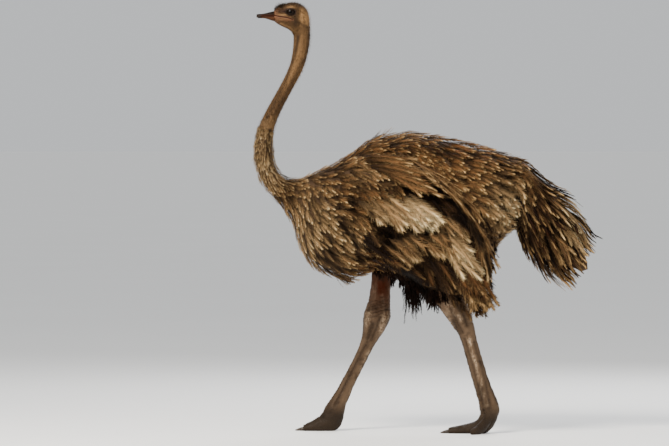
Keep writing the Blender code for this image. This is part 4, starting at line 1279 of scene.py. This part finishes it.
def grow(name, paths, ups, facts, root, finish, replaces=(), slot="plumage_brown", **sizes):
    holder = place_in_scene(name + "_lines", lines_mesh(paths, ups, facts, root))
    growth = holder.modifiers.new("grow", "NODES")
    growth.node_group = FEATHERS
    wanted = {**{k: v for k, (_, v) in FEATHER_SIZES.items()}, **sizes, "Finish": finish,
              "Seed": len(coat_count) * 20 + 3}
    for item in FEATHERS.interface.items_tree:
        if item.in_out == "INPUT" and item.name in wanted:
            growth[item.identifier] = wanted[item.name]
    graph = bpy.context.evaluated_depsgraph_get()
    mesh = bpy.data.meshes.new_from_object(holder.evaluated_get(graph))
    bpy.data.objects.remove(holder)
    part_feathers(mesh)
    made = place_in_scene(name, mesh)
    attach(made, "root")
    if replaces:
        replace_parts(made, *replaces)
    mesh.calc_loop_triangles()
    coat_count[name] = len(mesh.loop_triangles)
    print(f"{name}: {len(paths)} feathers, {coat_count[name]} triangles")
    return made


# %% [markdown]
# ## The finish of the plumage
# One finish serves the whole coat. Each feather is paler along its edge and tip and darkest at its
# root, where the dark is painted shade between the feathers, which is what makes the scalloped,
# mottled look of a hen. Feathers differ a little from each other, and so do the locks on one
# feather. The pigments of the markings tint all of it.

# %% Plumage material
DARK_BROWN, BROWN, WARM_BROWN = (.024, .010, .004), (.150, .072, .026), (.175, .064, .016)
TAN_EDGE, CREAM, CREAM_EDGE = (.660, .410, .170), (.450, .290, .135), (.920, .745, .420)
DARK_AND_SHADE, DARK_AND_SHADE_EDGE, GAP_SHADE = (.006, .0022, .0008), (.044, .015, .0045), (.004, .002, .001)
ROOT_SHADE_TONE, STREAK_TONE = (.010, .006, .004), (.016, .009, .005)


def paint_plumage(t):
    tone, shade, along, out = (t.attribute(n) for n in ("tone", "shade", "along", "out"))
    pale, dark, rust = (t.attribute(n) for n in ("pale", "dark", "rust"))
    rim = out.between(.46, 1.0) * .90 + along.between(.72, 1.0) * .85
    rim = (rim * (.20 + tone * 1.10)).clamp()
    centre = t.mix(DARK_BROWN, t.mix(BROWN, WARM_BROWN, rust), tone.between(-.15, .75))
    plain = t.mix(centre, TAN_EDGE, rim)
    creamy = t.mix(CREAM, CREAM_EDGE, rim)
    colour = t.mix(plain, creamy, (pale * (.55 + tone * .7)).clamp())
    # The dark pigment on the plumage is mostly painted shade: belly, hem, lining, under the wing's
    # edge, shaded tail plumes and holes between feathers. On the lower neck it gives dark streaks.
    colour = t.mix(colour, t.mix(DARK_AND_SHADE, DARK_AND_SHADE_EDGE, rim * .8), (dark * (1.25 - tone * .4)).clamp())
    # Painted shade: each feather darkens towards its root, where the next ones cover it.
    root_shade = (1 - along.between(0.0, .58)) * (1 - out * .30) * .92
    colour = t.mix(colour, ROOT_SHADE_TONE, root_shade)
    colour = t.mix(colour, STREAK_TONE, t.noise(48, 4).between(.54, .74) * .50)
    # Painted shade where the feathers part.
    colour = t.mix(colour, GAP_SHADE, t.attribute("gap") * .93)
    return (t.mix(colour, (0, 0, 0), (1 - shade) * .30),)


plumage = finish_of("plumage", paint_plumage, 0.65, Specular_IOR_Level=0.06)

# %% [markdown]
# ## The lie of the coat
# Feathers point backwards along the body and sink towards the ground, a little on the back and a
# lot on the rump. To lay one down, its shaft is walked over the measured grid in short steps. It
# starts in the skin and rises to the outline, so its tip rests on the feathers behind it.

# %% Walking a shaft over the body
STATION_SINK = ([0, 8, 13, 17, 20, 24, 30, 34, 38], [.1, .1, .1, .25, .70, .60, 1.1, 1.0, .9])
LEAN_DRIFT, LEAN_CHANCE = .35, .12


def station_of(row):
    return np.interp(row, np.arange(len(body["t"])), body["t"])


def row_of(station, grid=body):
    return np.interp(station, grid["t"], np.arange(len(grid["t"])))


def rolled(paths, ups, spread):
    """Turns each feather round its own shaft by a little chance."""
    roll = rng.normal(0, spread, len(paths))[:, None, None]
    return ups + np.cross(ups, unit(np.gradient(paths, axis=1))) * roll


def walk(u, v, length, steps, low, high, sink=1.0, backwards=False):
    """Shafts from the skin at (u, v): their points and outward normals. They rise from the share
    low of the coat's depth to high. Backwards, they are walked from tip to root."""
    paths, ups = np.empty((len(u), steps, 3)), np.empty((len(u), steps, 3))
    u, v = u.copy(), v.copy()
    drift = coherent(net_at(body["outer"], u, v), .06, 7.0)
    lean = LEAN_DRIFT * drift + LEAN_CHANCE * rng.standard_normal(len(u))
    step_long = length / (steps - 1)
    for k in range(steps):
        share = k / (steps - 1)
        rise = low + (high - low) * (1 - share if backwards else share) ** .75
        inner, outer = net_at(body["inner"], u, v), net_at(body["outer"], u, v)
        normal = unit(net_at(body["normal"], u, v))
        paths[:, k], ups[:, k] = inner + (outer - inner) * rise[:, None], normal
        along, around = net_at(body["along"], u, v), net_at(body["round"], u, v)
        pull = np.interp(station_of(u), *STATION_SINK) * sink
        down = np.array([0, 0, -1]) - normal * -normal[:, 2:3]
        course = unit(unit(along) + down * pull[:, None])
        course = unit(course + np.cross(normal, course) * lean[:, None])
        if backwards:
            course = -course
        aa, ab, bb = (along * along).sum(1), (along * around).sum(1), (around * around).sum(1)
        ca, cb = (course * along).sum(1), (course * around).sum(1)
        grid_step = 1 / np.maximum(aa * bb - ab * ab, 1e-14)
        u = np.clip(u + (ca * bb - cb * ab) * grid_step * step_long, 0, len(body["t"]) - 1.01)
        v = v + (cb * aa - ca * ab) * grid_step * step_long
    if backwards:
        paths, ups = paths[:, ::-1], ups[:, ::-1]
    return paths, ups


def scatter(first, last, gap):
    """Rows of roots from one station to another, gap(station) apart both ways. They are
    staggered like tiles, with some chance in them."""
    way = travelled(body["centre"])
    rows = np.arange(len(way))
    start, end = np.interp(row_of(np.array([first, last])), rows, way)
    found, place, odd = [], start, 0
    while place < end:
        u = np.interp(place, way, rows)
        ring = net_at(body["outer"], np.full(BODY_COLUMNS, u), np.arange(BODY_COLUMNS, dtype=float))
        girth = np.linalg.norm(ring - np.roll(ring, 1, 0), axis=1).sum()
        station = station_of(u)
        count = max(6, int(round(girth / gap(station))))
        turn = (np.arange(count) + odd * .5) / count * BODY_COLUMNS
        found.append(np.stack([np.full(count, u), turn], 1))
        place += gap(station)
        odd = 1 - odd
    roots = np.concatenate(found)
    jitter = rng.uniform(-.42, .42, (len(roots), 2))
    roots[:, 0] += jitter[:, 0] * .020 / np.interp(roots[:, 0], rows, np.gradient(way))
    roots[:, 1] += jitter[:, 1] * 2.0
    return roots[:, 0], roots[:, 1]


def under_wing(points):
    """True where a wing lies well over a place on the flank."""
    x, z = points[:, 0], points[:, 2]
    hidden = at(x, z, "wing") * (np.abs(points[:, 1]) < at(x, z) - .012)
    for dx, dz in ((.05, .0), (-.05, 0), (0, .05), (0, -.05)):
        hidden *= at(x + dx, z + dz, "wing")
    return (hidden > .5) & (z > .62)


def comb_shape(steps):
    """The length of the locks along a shaft, longest before its middle, and their slant."""
    share = np.linspace(0, 1, steps)
    long = np.clip(np.sin(np.pi * (share * .80 + .16)) ** .7, 0, 1) * (1 - .225 * share)
    long[0] = 0.55
    return long, np.radians(52 - 30 * share ** 1.3)[None]


def body_map(u, v):
    """Each root's place in the coat's map: rows of the skin one way, columns the other."""
    return np.stack([np.clip(u / len(body["t"]), 0, .995), (v / BODY_COLUMNS) % 1 * .995], 1)


# %% [markdown]
# ## Coverts
# The trunk is tiled with short soft feathers. They are small and narrow on the breast, and grow
# longer towards the rump, where they hang in loose tufts. Roots under the wings are left out.

# %% Body coverts
FLATTER = ([17, 19, 24, 26], [.30, .24, .18, .15])
COVERT_LONG = ([17, 20, 24, 30, 34, 38], [.036, .056, .068, .080, .120, .120])
COVERT_STEPS, COVERT_WIDE, COVERT_LOW = 24, .40, .20
LOCK = 1.5                     # a lock's width as a share of the gap to the next


def covert_long(station):
    return np.interp(station, *COVERT_LONG)


def side_of(v):
    """0 on top, 1 below, from the column."""
    return .5 - .5 * np.cos(v / BODY_COLUMNS * 2 * math.pi)


def coat_of(name, u, v, long_share=1.0, high=(.70, 1.12), **sizes):
    """Grows coverts at these roots of the body and names the piece. They lie flatter on top."""
    n, station = len(u), station_of(u)
    length = covert_long(station) * long_share * rng.uniform(.75, 1.2, n)
    reach = rng.uniform(*high, n) - np.interp(station, *FLATTER) * (side_of(v) < .30)
    length = length * before_gaps(walk(u, v, length, COVERT_STEPS, COVERT_LOW, reach)[0])
    paths, ups = walk(u, v, length, COVERT_STEPS, COVERT_LOW, reach)
    ups, (long, slant) = rolled(paths, ups, .24), comb_shape(COVERT_STEPS)
    facts = {"barb": length[:, None] * COVERT_WIDE * long,
             "lock": LOCK * length / COVERT_STEPS * rng.uniform(.8, 1.2, n),
             "slant": slant, "tone": tones(paths)}
    return grow(name, paths, ups, facts, body_map(u, v), plumage, **sizes)


def tones(paths):
    """How pale each feather is: part chance, part a slow drift over the coat."""
    drift = coherent(paths[:, -1], .075, 19.0) * .9 + coherent(paths[:, -1], .03, 5.0) * .5
    return np.clip(.5 + drift + rng.normal(0, .26, len(paths)), 0, 1)


def keep(u, v, mask):
    return u[mask], v[mask]


u, v = scatter(17.2, 34.0, lambda station: covert_long(station) * .38)
u, v = keep(u, v, ~under_wing(net_at(body["outer"], u, v)))
station = station_of(u)
REGIONS = {
    "coat_breast": station < 21.5,
    "coat_shoulders": (station >= 21.5) & (station < 25.5),
    "coat_back": (station >= 25.5) & (station < 29.5),
    "coat_rump": station >= 29.5,
}
for region, mask in REGIONS.items():
    coat_of(region, *keep(u, v, mask), Unruly=.17, Ripple=.012)
print("coverts:", len(u))

TUFT_STATION, BREAST_STATION, TUFT_FEATHERS = 24.35, 24.2, 9    # ruffled feathers stand up here
coat_of("back_tuft", row_of(TUFT_STATION) + rng.normal(0, 1.0, TUFT_FEATHERS),
        rng.normal(0, 2.0, TUFT_FEATHERS), long_share=.42, high=(1.3, 1.9), Unruly=.2)

# %% [markdown]
# ## Wings
# A hen's folded wing is layered: small curly coverts in front, brown median feathers over them,
# a fan of cream plumes in the middle, and long loose plumes that sweep down to the hem with dark
# gaps between. Each layer is one row: a line of roots, the way its plumes point, how they bend,
# how long they are, how deep they lie and their pigments. Both wings use the same rows with their
# own chances, so they match without being copies.

# %% Shafts over the flank
def flank_shafts(root, angle, bend, length, steps, deep, sign, arch=.008):
    """Shafts that start at roots (x, z) and run over the sheet, angle below level, in radians."""
    share = np.linspace(0, 1, steps)
    course = angle[:, None] + bend[:, None] * share
    step = length[:, None] / (steps - 1)
    ahead, below = (np.pad(np.cumsum(part(course) * step, 1)[:, :-1], ((0, 0), (1, 0)))
                    for part in (np.cos, np.sin))
    x, z = root[:, :1] + ahead, root[:, 1:] - below
    depth = deep[0][:, None] + (deep[1] - deep[0])[:, None] * share ** .8
    depth -= arch * np.sin(math.pi * share)
    y = at(x, z) - depth
    slope_x = (at(x + .02, z) - at(x - .02, z)) / .04
    slope_z = (at(x, z + .02) - at(x, z - .02)) / .04
    up = unit(np.stack([-slope_x, sign * np.ones_like(x), -slope_z], -1))
    return np.stack([x, sign * y, z], -1), up


def flank_map(root):
    """Places in the wing coat's map: the sheet unrolled along x and z."""
    return (root - (SHEET_X[0], SHEET_Z[0])).clip(0, .995)


# Each row: roots from and to; degrees below level; bend; length; the barbs' length; how many
# plumes; depth at root and tip; pale, dark and rust; and how blunt the plumes end.
# The dark share of each row is painted shade, strongest on the hem and under the edge.
PLUME_ROWS = {
    "hem_front": ((-.27, .82), (-.06, .67), (36, 45), 8, (.19, .17), .030, 46, (.040, .010),
                  (.08, 1., .5), .6),
    "hem_rear": ((.00, .71), (.225, .90), (48, 72), 6, (.17, .20), .030, 40, (.034, .008),
                 (.12, .85, .8), .6),
    "corner": ((.09, .705), (.175, .720), (58, 64), 3, (.20, .235), .034, 24, (.028, -.004),
               (.12, .60, .9), 1.),
    "edge_under": ((-.04, 1.06), (.13, .94), (34, 52), 10, (.19, .23), .030, 28, (.036, .018),
                   (.05, 1., .2), .5),
    "mid": ((-.06, .96), (.12, .90), (46, 58), 8, (.17, .20), .030, 15, (.026, .004),
            (.30, .30, .2), .8),
    "rear": ((.16, .95), (.23, .86), (62, 76), 7, (.20, .24), .026, 20, (.022, .002),
             (.25, .35, .5), .5),
    "round": ((-.20, .80), (.03, .86), (34, 46), 10, (.13, .16), .036, 17, (.026, -.006),
              (.26, .10, .4), 1.),
    "low_pale": ((.03, .84), (.11, .79), (38, 43), 8, (.18, .205), .040, 9, (.016, -.006),
                 (.80, .0, .4), .8),
    "cream_front": ((-.29, .965), (-.18, .985), (36, 34), 12, (.12, .16), .034, 16, (.018, -.010),
                    (.50, .0, .5), 1.),
    "cream": ((-.19, .980), (-.08, .990), (32, 36), 12, (.16, .19), .036, 18, (.016, -.012),
              (1., .0, .1), 1.),
    "edge": ((-.13, 1.170), (.15, .985), (26, 45), 13, (.19, .21), .010, 30, (.012, -.022),
             (.22, .05, .4), .2),
    "median": ((-.27, 1.16), (-.13, 1.055), (0, 18), 9, (.17, .24), .030, 24, (.010, -.010),
               (.10, .15, .45), .8),
}
PLUME_STEPS, QUILL = 46, .0010


def plume_shape(steps, blunt):
    """The locks of long plumes: their share of the longest, and their slant. Blunt plumes end
    round."""
    along = np.linspace(0, 1, steps)[None]
    blunt = np.asarray(blunt, float)[:, None]
    round_end = np.sqrt(np.clip(1 - (np.maximum(along - .72, 0) / .30) ** 2, .08, 1))
    full = np.interp(along, [0, .15, .45, 1], [.35, .8, 1, 1]) * round_end
    fine = np.interp(along, [0, .15, .4, .7, 1], [.35, .8, 1, .8, .25])
    return full * blunt + fine * (1 - blunt), np.radians(42 - (28 - 10 * blunt) * along ** 1.2)


def wing_plumes(sign):
    """All rows of one wing as one set of shafts."""
    paths, ups, facts, roots = [], [], [], []
    for start, end, degrees, bend, long, barb, count, deep, pigments, blunt in PLUME_ROWS.values():
        share = (np.arange(count) + rng.uniform(.1, .9, count)) / count
        root = np.array(start) + (np.array(end) - np.array(start)) * share[:, None]
        root += rng.normal(0, .012, root.shape)
        angle = np.radians(np.interp(share, [0, 1], degrees) + rng.normal(0, 5, count))
        length = np.interp(share, [0, 1], long) * rng.uniform(.80, 1.12, count)
        lift = rng.uniform(-.006, .006, count)
        turn, depths = np.radians(bend + rng.normal(0, 9, count)), (deep[0] + lift, deep[1] + lift)
        path, up = flank_shafts(root, angle, turn, length, PLUME_STEPS, depths, sign)
        within = at(path[..., 0], path[..., 2], "wing") > .35
        reached = (within * np.arange(1, PLUME_STEPS + 1)).max(1) / PLUME_STEPS
        length = length * np.clip(reached, .55, 1)      # none hangs out of the wing's outline
        path, up = flank_shafts(root, angle, turn, length, PLUME_STEPS, depths, sign)
        up = rolled(path, up, .28)
        wide, slant = plume_shape(PLUME_STEPS, np.full(count, blunt))
        pale, dark, rust = pigments
        mix = rng.uniform(.6, 1.2, count)
        facts.append({
            "barb": barb * wide * rng.uniform(.8, 1.15, count)[:, None],
            "lock": (np.minimum(LOCK * length / PLUME_STEPS, barb * .3)
                     * rng.uniform(.85, 1.15, count)),
            "slant": slant, "tone": np.clip(rng.normal(.5, .32, count), 0, 1),
            "pale": np.clip(pale * mix, 0, 1), "dark": np.clip(dark * mix, 0, 1),
            "rust": np.clip(rust * mix, 0, 1)})
        paths.append(path), ups.append(up), roots.append(root)
    joined = {key: np.concatenate([f[key] for f in facts]) for key in facts[0]} | {"quill": QUILL}
    return np.concatenate(paths), np.concatenate(ups), joined, flank_map(np.concatenate(roots))


for side, sign in SIDES.items():
    grow(f"wing_plumes_{side}", *wing_plumes(sign), plumage, Droop=.06, Ripple=.010, Unruly=.17)

# %% [markdown]
# Under the plumes and in front of them the wing is tiled with short feathers. Those at the front
# and top are small and curly. The lining below is longer and deeper, and painted dark as shade,
# so that the gaps between the plumes look into shadow and never onto bare skin.

# %% Small coverts and lining of the wings
# The lining's dark share is painted shade.
WING_TILES = {       # gap, length, depth at root and tip, how dark
    "coverts": (.0200, .060, .020, -.004, .0),
    "lining": (.0300, .100, .042, .028, .90),
}
COVERT_LINE = ([-.34, -.20, -.05, .06, .20], [.80, .92, 1.06, 1.08, .96])
RIM_SINK = .032


def wing_tiles(sign, gap, long, root_deep, tip_deep, dark, lining):
    """Tiles one part of a wing: above the covert line, or the lining below it."""
    x, z = np.meshgrid(np.arange(-.37, .30, gap), np.arange(.46, 1.24, gap), indexing="ij")
    root = np.stack([x.ravel(), z.ravel()], 1) + rng.uniform(-.5, .5, (x.size, 2)) * gap
    upper = root[:, 1] - np.interp(root[:, 0], *COVERT_LINE)
    wanted = (upper < .05) if lining else (upper > rng.normal(0, .03, len(root)))
    # They point backwards at the front and top, and more and more down towards rear and hem.
    angle = np.radians(12 + 60 * (root[:, 0] + .34) + 30 * (1.15 - root[:, 1])
                       + rng.normal(0, 11, len(root)))
    length = long * rng.uniform(.7, 1.25, len(root)) * (1 + .7 * np.clip(root[:, 0] + .2, 0, .4))
    reach = length * 1.2 * lining
    ahead, below = reach * np.cos(angle), reach * np.sin(angle)
    wanted &= at(root[:, 0] + ahead, root[:, 1] - below, "wing") > .5
    wanted &= at(root[:, 0], root[:, 1], "wing") > .3
    root, angle, length = root[wanted], angle[wanted], length[wanted]
    lift, turn = rng.uniform(-.005, .006, len(root)), rng.normal(.25, .30, len(root))
    rim = np.maximum((-.25 - root[:, 0]) / .07, (root[:, 1] - 1.08) / .07).clip(0, 1)
    lift += RIM_SINK * rim * (not lining)       # they lie down where the wing meets the body
    shape = COVERT_STEPS, (lift + root_deep, lift + tip_deep), sign, .004
    path, up = flank_shafts(root, angle, turn, length, *shape)
    if not lining:
        length = length * before_gaps(path)
        path, up = flank_shafts(root, angle, turn, length, *shape)
    n, up, (share, slant) = len(root), rolled(path, up, .30), comb_shape(COVERT_STEPS)
    facts = {"barb": length[:, None] * COVERT_WIDE * share, "tone": tones(path), "slant": slant,
             "lock": LOCK * length / COVERT_STEPS * rng.uniform(.8, 1.2, n)}
    if lining:
        facts.update(dark=rng.uniform(.75, 1, n) * dark, pale=.1, tone=rng.uniform(0, .6, n))
    return path, up, facts, flank_map(root)


for side, sign in SIDES.items():
    for part, sizes in WING_TILES.items():
        grow(f"wing_{part}_{side}", *wing_tiles(sign, *sizes, part == "lining"), plumage,
             replaces=(f"wing_{side}",) if part == "coverts" else (), Droop=-.05,
             Unruly=.17, Ripple=.012)

# %% [markdown]
# ## The tail
# A hen's tail is a loose bunch of long soft plumes that droops behind her. Their ends matter most,
# because they make the outline, so each shaft is placed by its tip and walked back to its root.

# %% Tail plumes
TAIL_PLUMES, TAIL_STEPS = 300, 42
tip_station = 38 - 4.2 * rng.uniform(0, 1, TAIL_PLUMES) ** 1.5
u = row_of(tip_station)
v = (np.arange(TAIL_PLUMES) * .618034 % 1) * BODY_COLUMNS
length = rng.uniform(.15, .27, TAIL_PLUMES)
reach = rng.uniform(.35, 1.08, TAIL_PLUMES)
reach[tip_station < 36.5] = rng.uniform(.85, 1.08, (tip_station < 36.5).sum())
paths, ups = walk(u, v, length, TAIL_STEPS, .15, reach, backwards=True, sink=.45)
ups = rolled(paths, ups, .35)
wide, slant = plume_shape(TAIL_STEPS, rng.uniform(.1, .6, TAIL_PLUMES))
marks = markings(paths.reshape(-1, 3))
pale, dark = (marks[name].reshape(paths.shape[:2]) for name in ("pale", "dark"))
in_shadow = rng.uniform(0, 1, TAIL_PLUMES) < .58 - .40 * pale[:, -9]
facts = {"barb": .034 * wide * rng.uniform(.75, 1.2, TAIL_PLUMES)[:, None], "slant": slant * .55,
         "lock": LOCK * length / TAIL_STEPS * rng.uniform(.9, 1.3, TAIL_PLUMES),
         "tone": np.clip(rng.normal(.55, .32, TAIL_PLUMES), 0, 1), "quill": QUILL,
         "dark": np.clip(dark + .90 * in_shadow[:, None], 0, 1), "pale": pale}
grow("tail_plumes", paths, ups, facts, body_map(u - 40, v), plumage, replaces=("tail",),
     Sweep=.32, Droop=.05, Ripple=.012, Unruly=.10)

# %% [markdown]
# ## Belly and tassel
# Between the legs hangs a fluff that ends in a tassel, painted dark as the shade under the body.
# Its feathers don't lie on the body, so their shafts leave the skin and fall.

# %% Hanging feathers
BELLY_STEPS, BELLY_COUNT, HANG_SPREAD = 22, 330, .11


def hang(root, normal, length, back):
    """Shafts that leave the skin along the body and then fall."""
    n, last = len(root), BELLY_STEPS - 1
    paths = np.empty((n, BELLY_STEPS, 3))
    paths[:, 0] = root - normal * .012
    drift = rng.normal(0, HANG_SPREAD, (n, 3)) * (1, 1, .2)
    for k in range(1, BELLY_STEPS):
        share = k / last
        course = np.array([1, 0, 0]) * (back * (1 - share))[:, None] + drift
        course += np.array([0, 0, -1]) * (.35 + share)
        paths[:, k] = paths[:, k - 1] + unit(course) * (length / last)[:, None]
    sideways = rng.normal(0, 1, n), np.sign(rng.uniform(-1, 1, n)) * 1.2, np.zeros(n)
    return paths, np.repeat(unit(np.stack(sideways, 1))[:, None], BELLY_STEPS, 1)


CLUMPS = {           # x, y, z of the roots, how far they spread, how long, how many
    "tassel": ((-.078, -.02, .650), (.009, .010, .016), .172, 80),
    "spike": ((.010, -.03, .650), (.026, .014, .012), .062, 34),
    "between": ((-.060, -.02, .690), (.050, .040, .014), .085, 90),
    "knee": ((.020, -.155, .620), (.020, .008, .020), .082, 60),
}
THIGHS = {"left": (2.2, 150), "right": (.6, 26)}         # feathered down to this station, how many
station = rng.uniform(25.6, 30.5, BELLY_COUNT)
v = BODY_COLUMNS * (.5 + rng.normal(0, .075, BELLY_COUNT))
u = row_of(station)
root, normal = net_at(body["inner"], u, v), unit(net_at(body["normal"], u, v))
long = rng.uniform(.05, .085, BELLY_COUNT)
long *= np.interp(station, [25.6, 26.5, 28, 30.5], [.6, 1.2, 1.2, .8])
found = [(root, normal, long, np.full(BELLY_COUNT, .5))]
for middle, spread, longest, count in CLUMPS.values():
    found.append((np.array(middle) + rng.normal(0, 1, (count, 3)) * spread,
                  np.tile([0, 0, -1.0], (count, 1)),
                  rng.uniform(.15, 1, count) ** .5 * longest, np.full(count, .25)))
for side, (lowest, count) in THIGHS.items():
    grid = legs[side]
    row = row_of(rng.uniform(.2, lowest, count), grid)
    turn = rng.uniform(0, LEG_COLUMNS, count)
    normal = unit(net_at(grid["normal"], row, turn))
    found.append((net_at(grid["outer"], row, turn) + normal * .016, normal,
                  rng.uniform(.05, .09, count), np.full(count, .7)))
root, normal, long, back = (np.concatenate(parts) for parts in zip(*found))
n = len(root)
paths, ups = hang(root, normal, long, back)
shape, slant = comb_shape(BELLY_STEPS)
roots_map = np.concatenate([body_map(u, v), flank_map(root[BELLY_COUNT:, [0, 2]])])
# Painted shade: these feathers, on the thighs too, get the full dark pigment.
facts = {"barb": .030 * shape[None] * rng.uniform(.7, 1.2, n)[:, None],
         "lock": rng.uniform(.004, .006, n), "slant": slant * .5,
         "tone": rng.uniform(0, .35, n), "dark": 1.0, "pale": 0.0, "rust": rng.uniform(0, .5, n)}
grow("belly_fluff", paths, ups, facts, roots_map, plumage, replaces=("belly_tassel",),
     slot="plumage_dark")

# %% [markdown]
# ## Neck and head
# The lower neck wears narrow hair-like feathers, pale grey with dark streaks between. From there up
# there is only short down: single fine locks, longest on the neck and smallest on the face.

# %% Lower neck
NECK_STEPS = 12
u, v = scatter(12.9, 17.6, lambda station: .0075 + .0012 * (station - 13))
n, station = len(u), station_of(u)
length = np.interp(station, [12.9, 14, 17.6], [.018, .026, .040]) * rng.uniform(.7, 1.25, n)
paths, ups = walk(u, v, length, NECK_STEPS, .25, rng.uniform(.6, 1.25, n))
long, slant = comb_shape(NECK_STEPS)
marks = markings(paths[:, -4])
facts = {"barb": length[:, None] * .30 * long, "lock": rng.uniform(.0016, .0024, n),
         "tone": tones(paths) * .9, "pale": np.clip(marks["pale"] + .28, 0, 1),
         "dark": marks["dark"] * .9, "slant": slant * .55}
grow("neck_feathers", paths, ups, facts, body_map(u, v), plumage, slot="plumage_pale", Droop=-.05)

# %% Down of neck and head
DOWN_BROWN, DOWN_TAN = (.046, .024, .011), (.330, .190, .082)
DOWN_GREY, DOWN_DARK = (.024, .017, .012), (.009, .005, .003)


def paint_down(t):
    tone, shade, out, pale, dark = (
        t.attribute(n) for n in ("tone", "shade", "out", "pale", "dark"))
    # The pale pigment includes a painted highlight down the neck. The dark pigment is the grey of
    # the crown's fuzz, with painted shade in the neck's fold and on its rear side.
    colour = t.mix(DOWN_BROWN, DOWN_TAN, (tone * .32 + out * .18 + pale * .80).clamp())
    colour = t.mix(colour, DOWN_GREY, (dark * .9).clamp())
    return (t.mix(colour, DOWN_DARK, ((1 - shade) * .45 + (1 - out) * .25).clamp()),)


down_finish = finish_of("down", paint_down, 0.65, Specular_IOR_Level=0.06)
FORELOCKS = 1400                            # extra down on the forehead
DOWN_GAP = ([0, 6, 8, 13], [.0019, .0021, .0034, .0040])
DOWN_LONG = ([0, 4, 7, 9, 13.4], [.0034, .0045, .0058, .0085, .012])


def bare_face(points):
    """True where no down grows: lids, lore, the mouth's edge and round the bill."""
    x, z = points[:, 0], points[:, 2]
    mouth, ear = away_from_line(points, MOUTH), away_from_line(points, EAR)
    lore = np.hypot((x - LORE[0]) / LORE[2], (z - LORE[1]) / LORE[3])
    edge = -.628 - .004 * coherent(points, .006, 3.0)
    front = (x < edge) & (z > HEAD_FROM) & (z < 1.754)
    return (lid_ring(points) < 1.28) | (mouth < .0034) | (lore < 1.05) | (ear < .0026) | front


u, v = scatter(.4, 13.4, lambda station: np.interp(station, *DOWN_GAP))
u += rng.uniform(-.5, .5, len(u))
more = rng.uniform(.5, row_of(2.2), FORELOCKS), rng.normal(0, 9, FORELOCKS)
u, v = np.append(u, more[0]), np.append(v, more[1] % BODY_COLUMNS)
u, v = keep(u, v, ~bare_face(net_at(body["outer"], u, v)) & (u > 1))
n, station = len(u), station_of(u)
length = np.interp(station, *DOWN_LONG) * rng.uniform(.6, 1.3, n)
on_top = np.clip(np.cos(v / BODY_COLUMNS * 2 * math.pi), 0, 1) ** 2 * (station < 10)
fuzz = on_top * np.interp(station, [0, .4, 1.6, 3, 4, 7, 9], [1.0, 1.4, 1.2, .8, 1.1, 1.1, .4])
forelock = on_top * bell(net_at(body["outer"], u, v)[:, 0] + .618, .017)
length *= 1 + 1.5 * fuzz + 2.0 * forelock
paths, ups = walk(u, v, length * .3, 2, .35, rng.uniform(.9, 1.6, n))
upright = .10 + (1.1 * fuzz + forelock) * rng.uniform(.3, 1.2, n)
lifted = unit(unit(paths[:, 1] - paths[:, 0]) + ups[:, 0] * upright[:, None])
paths[:, 1] = paths[:, 0] + lifted * (length * .3)[:, None]
only_first = np.array([1.0, 0.0])
marks, nape = markings(paths[:, 0]), soft_step(station, 4.0, 5.5)
facts = {"barb": length[:, None] * only_first, "slant": .10, "tone": tones(paths),
         "lock": np.interp(station, [0, 6, 13], [.0006, .0008, .0013]),
         "dark": np.clip(marks["dark"] + fuzz * .9 * (1 - nape), 0, 1),
         "pale": np.clip(marks["pale"] + on_top * .7 * nape, 0, 1)}
grow("down", paths, ups, facts, body_map(u, v), down_finish, slot="neck_down", Sweep=.0,
     Droop=.04, Unruly=.20, Ripple=.0)

# %% Lashes
LASHES, LASH_LONG = 40, .0085
lash_finish = finish_of("lashes", lambda t: (
    t.mix((.006, .004, .003), (.022, .012, .007), t.attribute("shade")),), .5)
for side, sign in SIDES.items():
    turn = np.radians(np.linspace(12, 168, LASHES))
    first = on_ball(LID_LONG * 1.02 * np.cos(turn), LID_HIGH * .98 * np.sin(turn), sign,
                    EYE_RADIUS + .0012)
    course = unit(first * (1.2, 1, 1.0) + np.array([-.004, sign * .010, .001]))
    course += rng.normal(0, .10, (LASHES, 3))
    paths = (first + EYE * (1, sign, 1))[:, None] + course[:, None] * np.array([[[0.0], [.003]]])
    facts = {"barb": rng.uniform(.7, 1.15, (LASHES, 1)) * LASH_LONG * only_first, "lock": .0006,
             "slant": .14, "tone": rng.uniform(0, 1, LASHES)}
    grow(f"lashes_{side}", paths, np.tile([0, 0, 1.0], (LASHES, 2, 1)), facts,
         flank_map(first[:, [0, 2]]), lash_finish, slot="plumage_dark", Sweep=.0, Droop=-.25,
         Unruly=.12, Ripple=.0, Flatness=.8)

# %% [markdown]
# ## Breast tuft
# Where the breast turns up towards the legs, a few feathers hang free of the rest.

# %% Breast tuft
coat_of("breast_tuft", row_of(BREAST_STATION) + rng.normal(0, .8, TUFT_FEATHERS),
        BODY_COLUMNS * .5 + rng.normal(0, 2.0, TUFT_FEATHERS), high=(1.3, 2.0), Unruly=.2)

# %% [markdown]
# ## Hang the skin on the frame
# The skin stands for every node of flesh.

# %% Finish
FLESH = ["head", "neck_upper", "neck_middle", "neck_lower", "trunk"] + [
    f"{part}_{side}" for part in ("drumstick", "hock", "shank", "big_toe", "small_toe")
    for side in SIDES]
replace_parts(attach(skin, "root"), *FLESH)
print("coat:", sum(coat_count.values()), "triangles in", len(coat_count), "pieces")
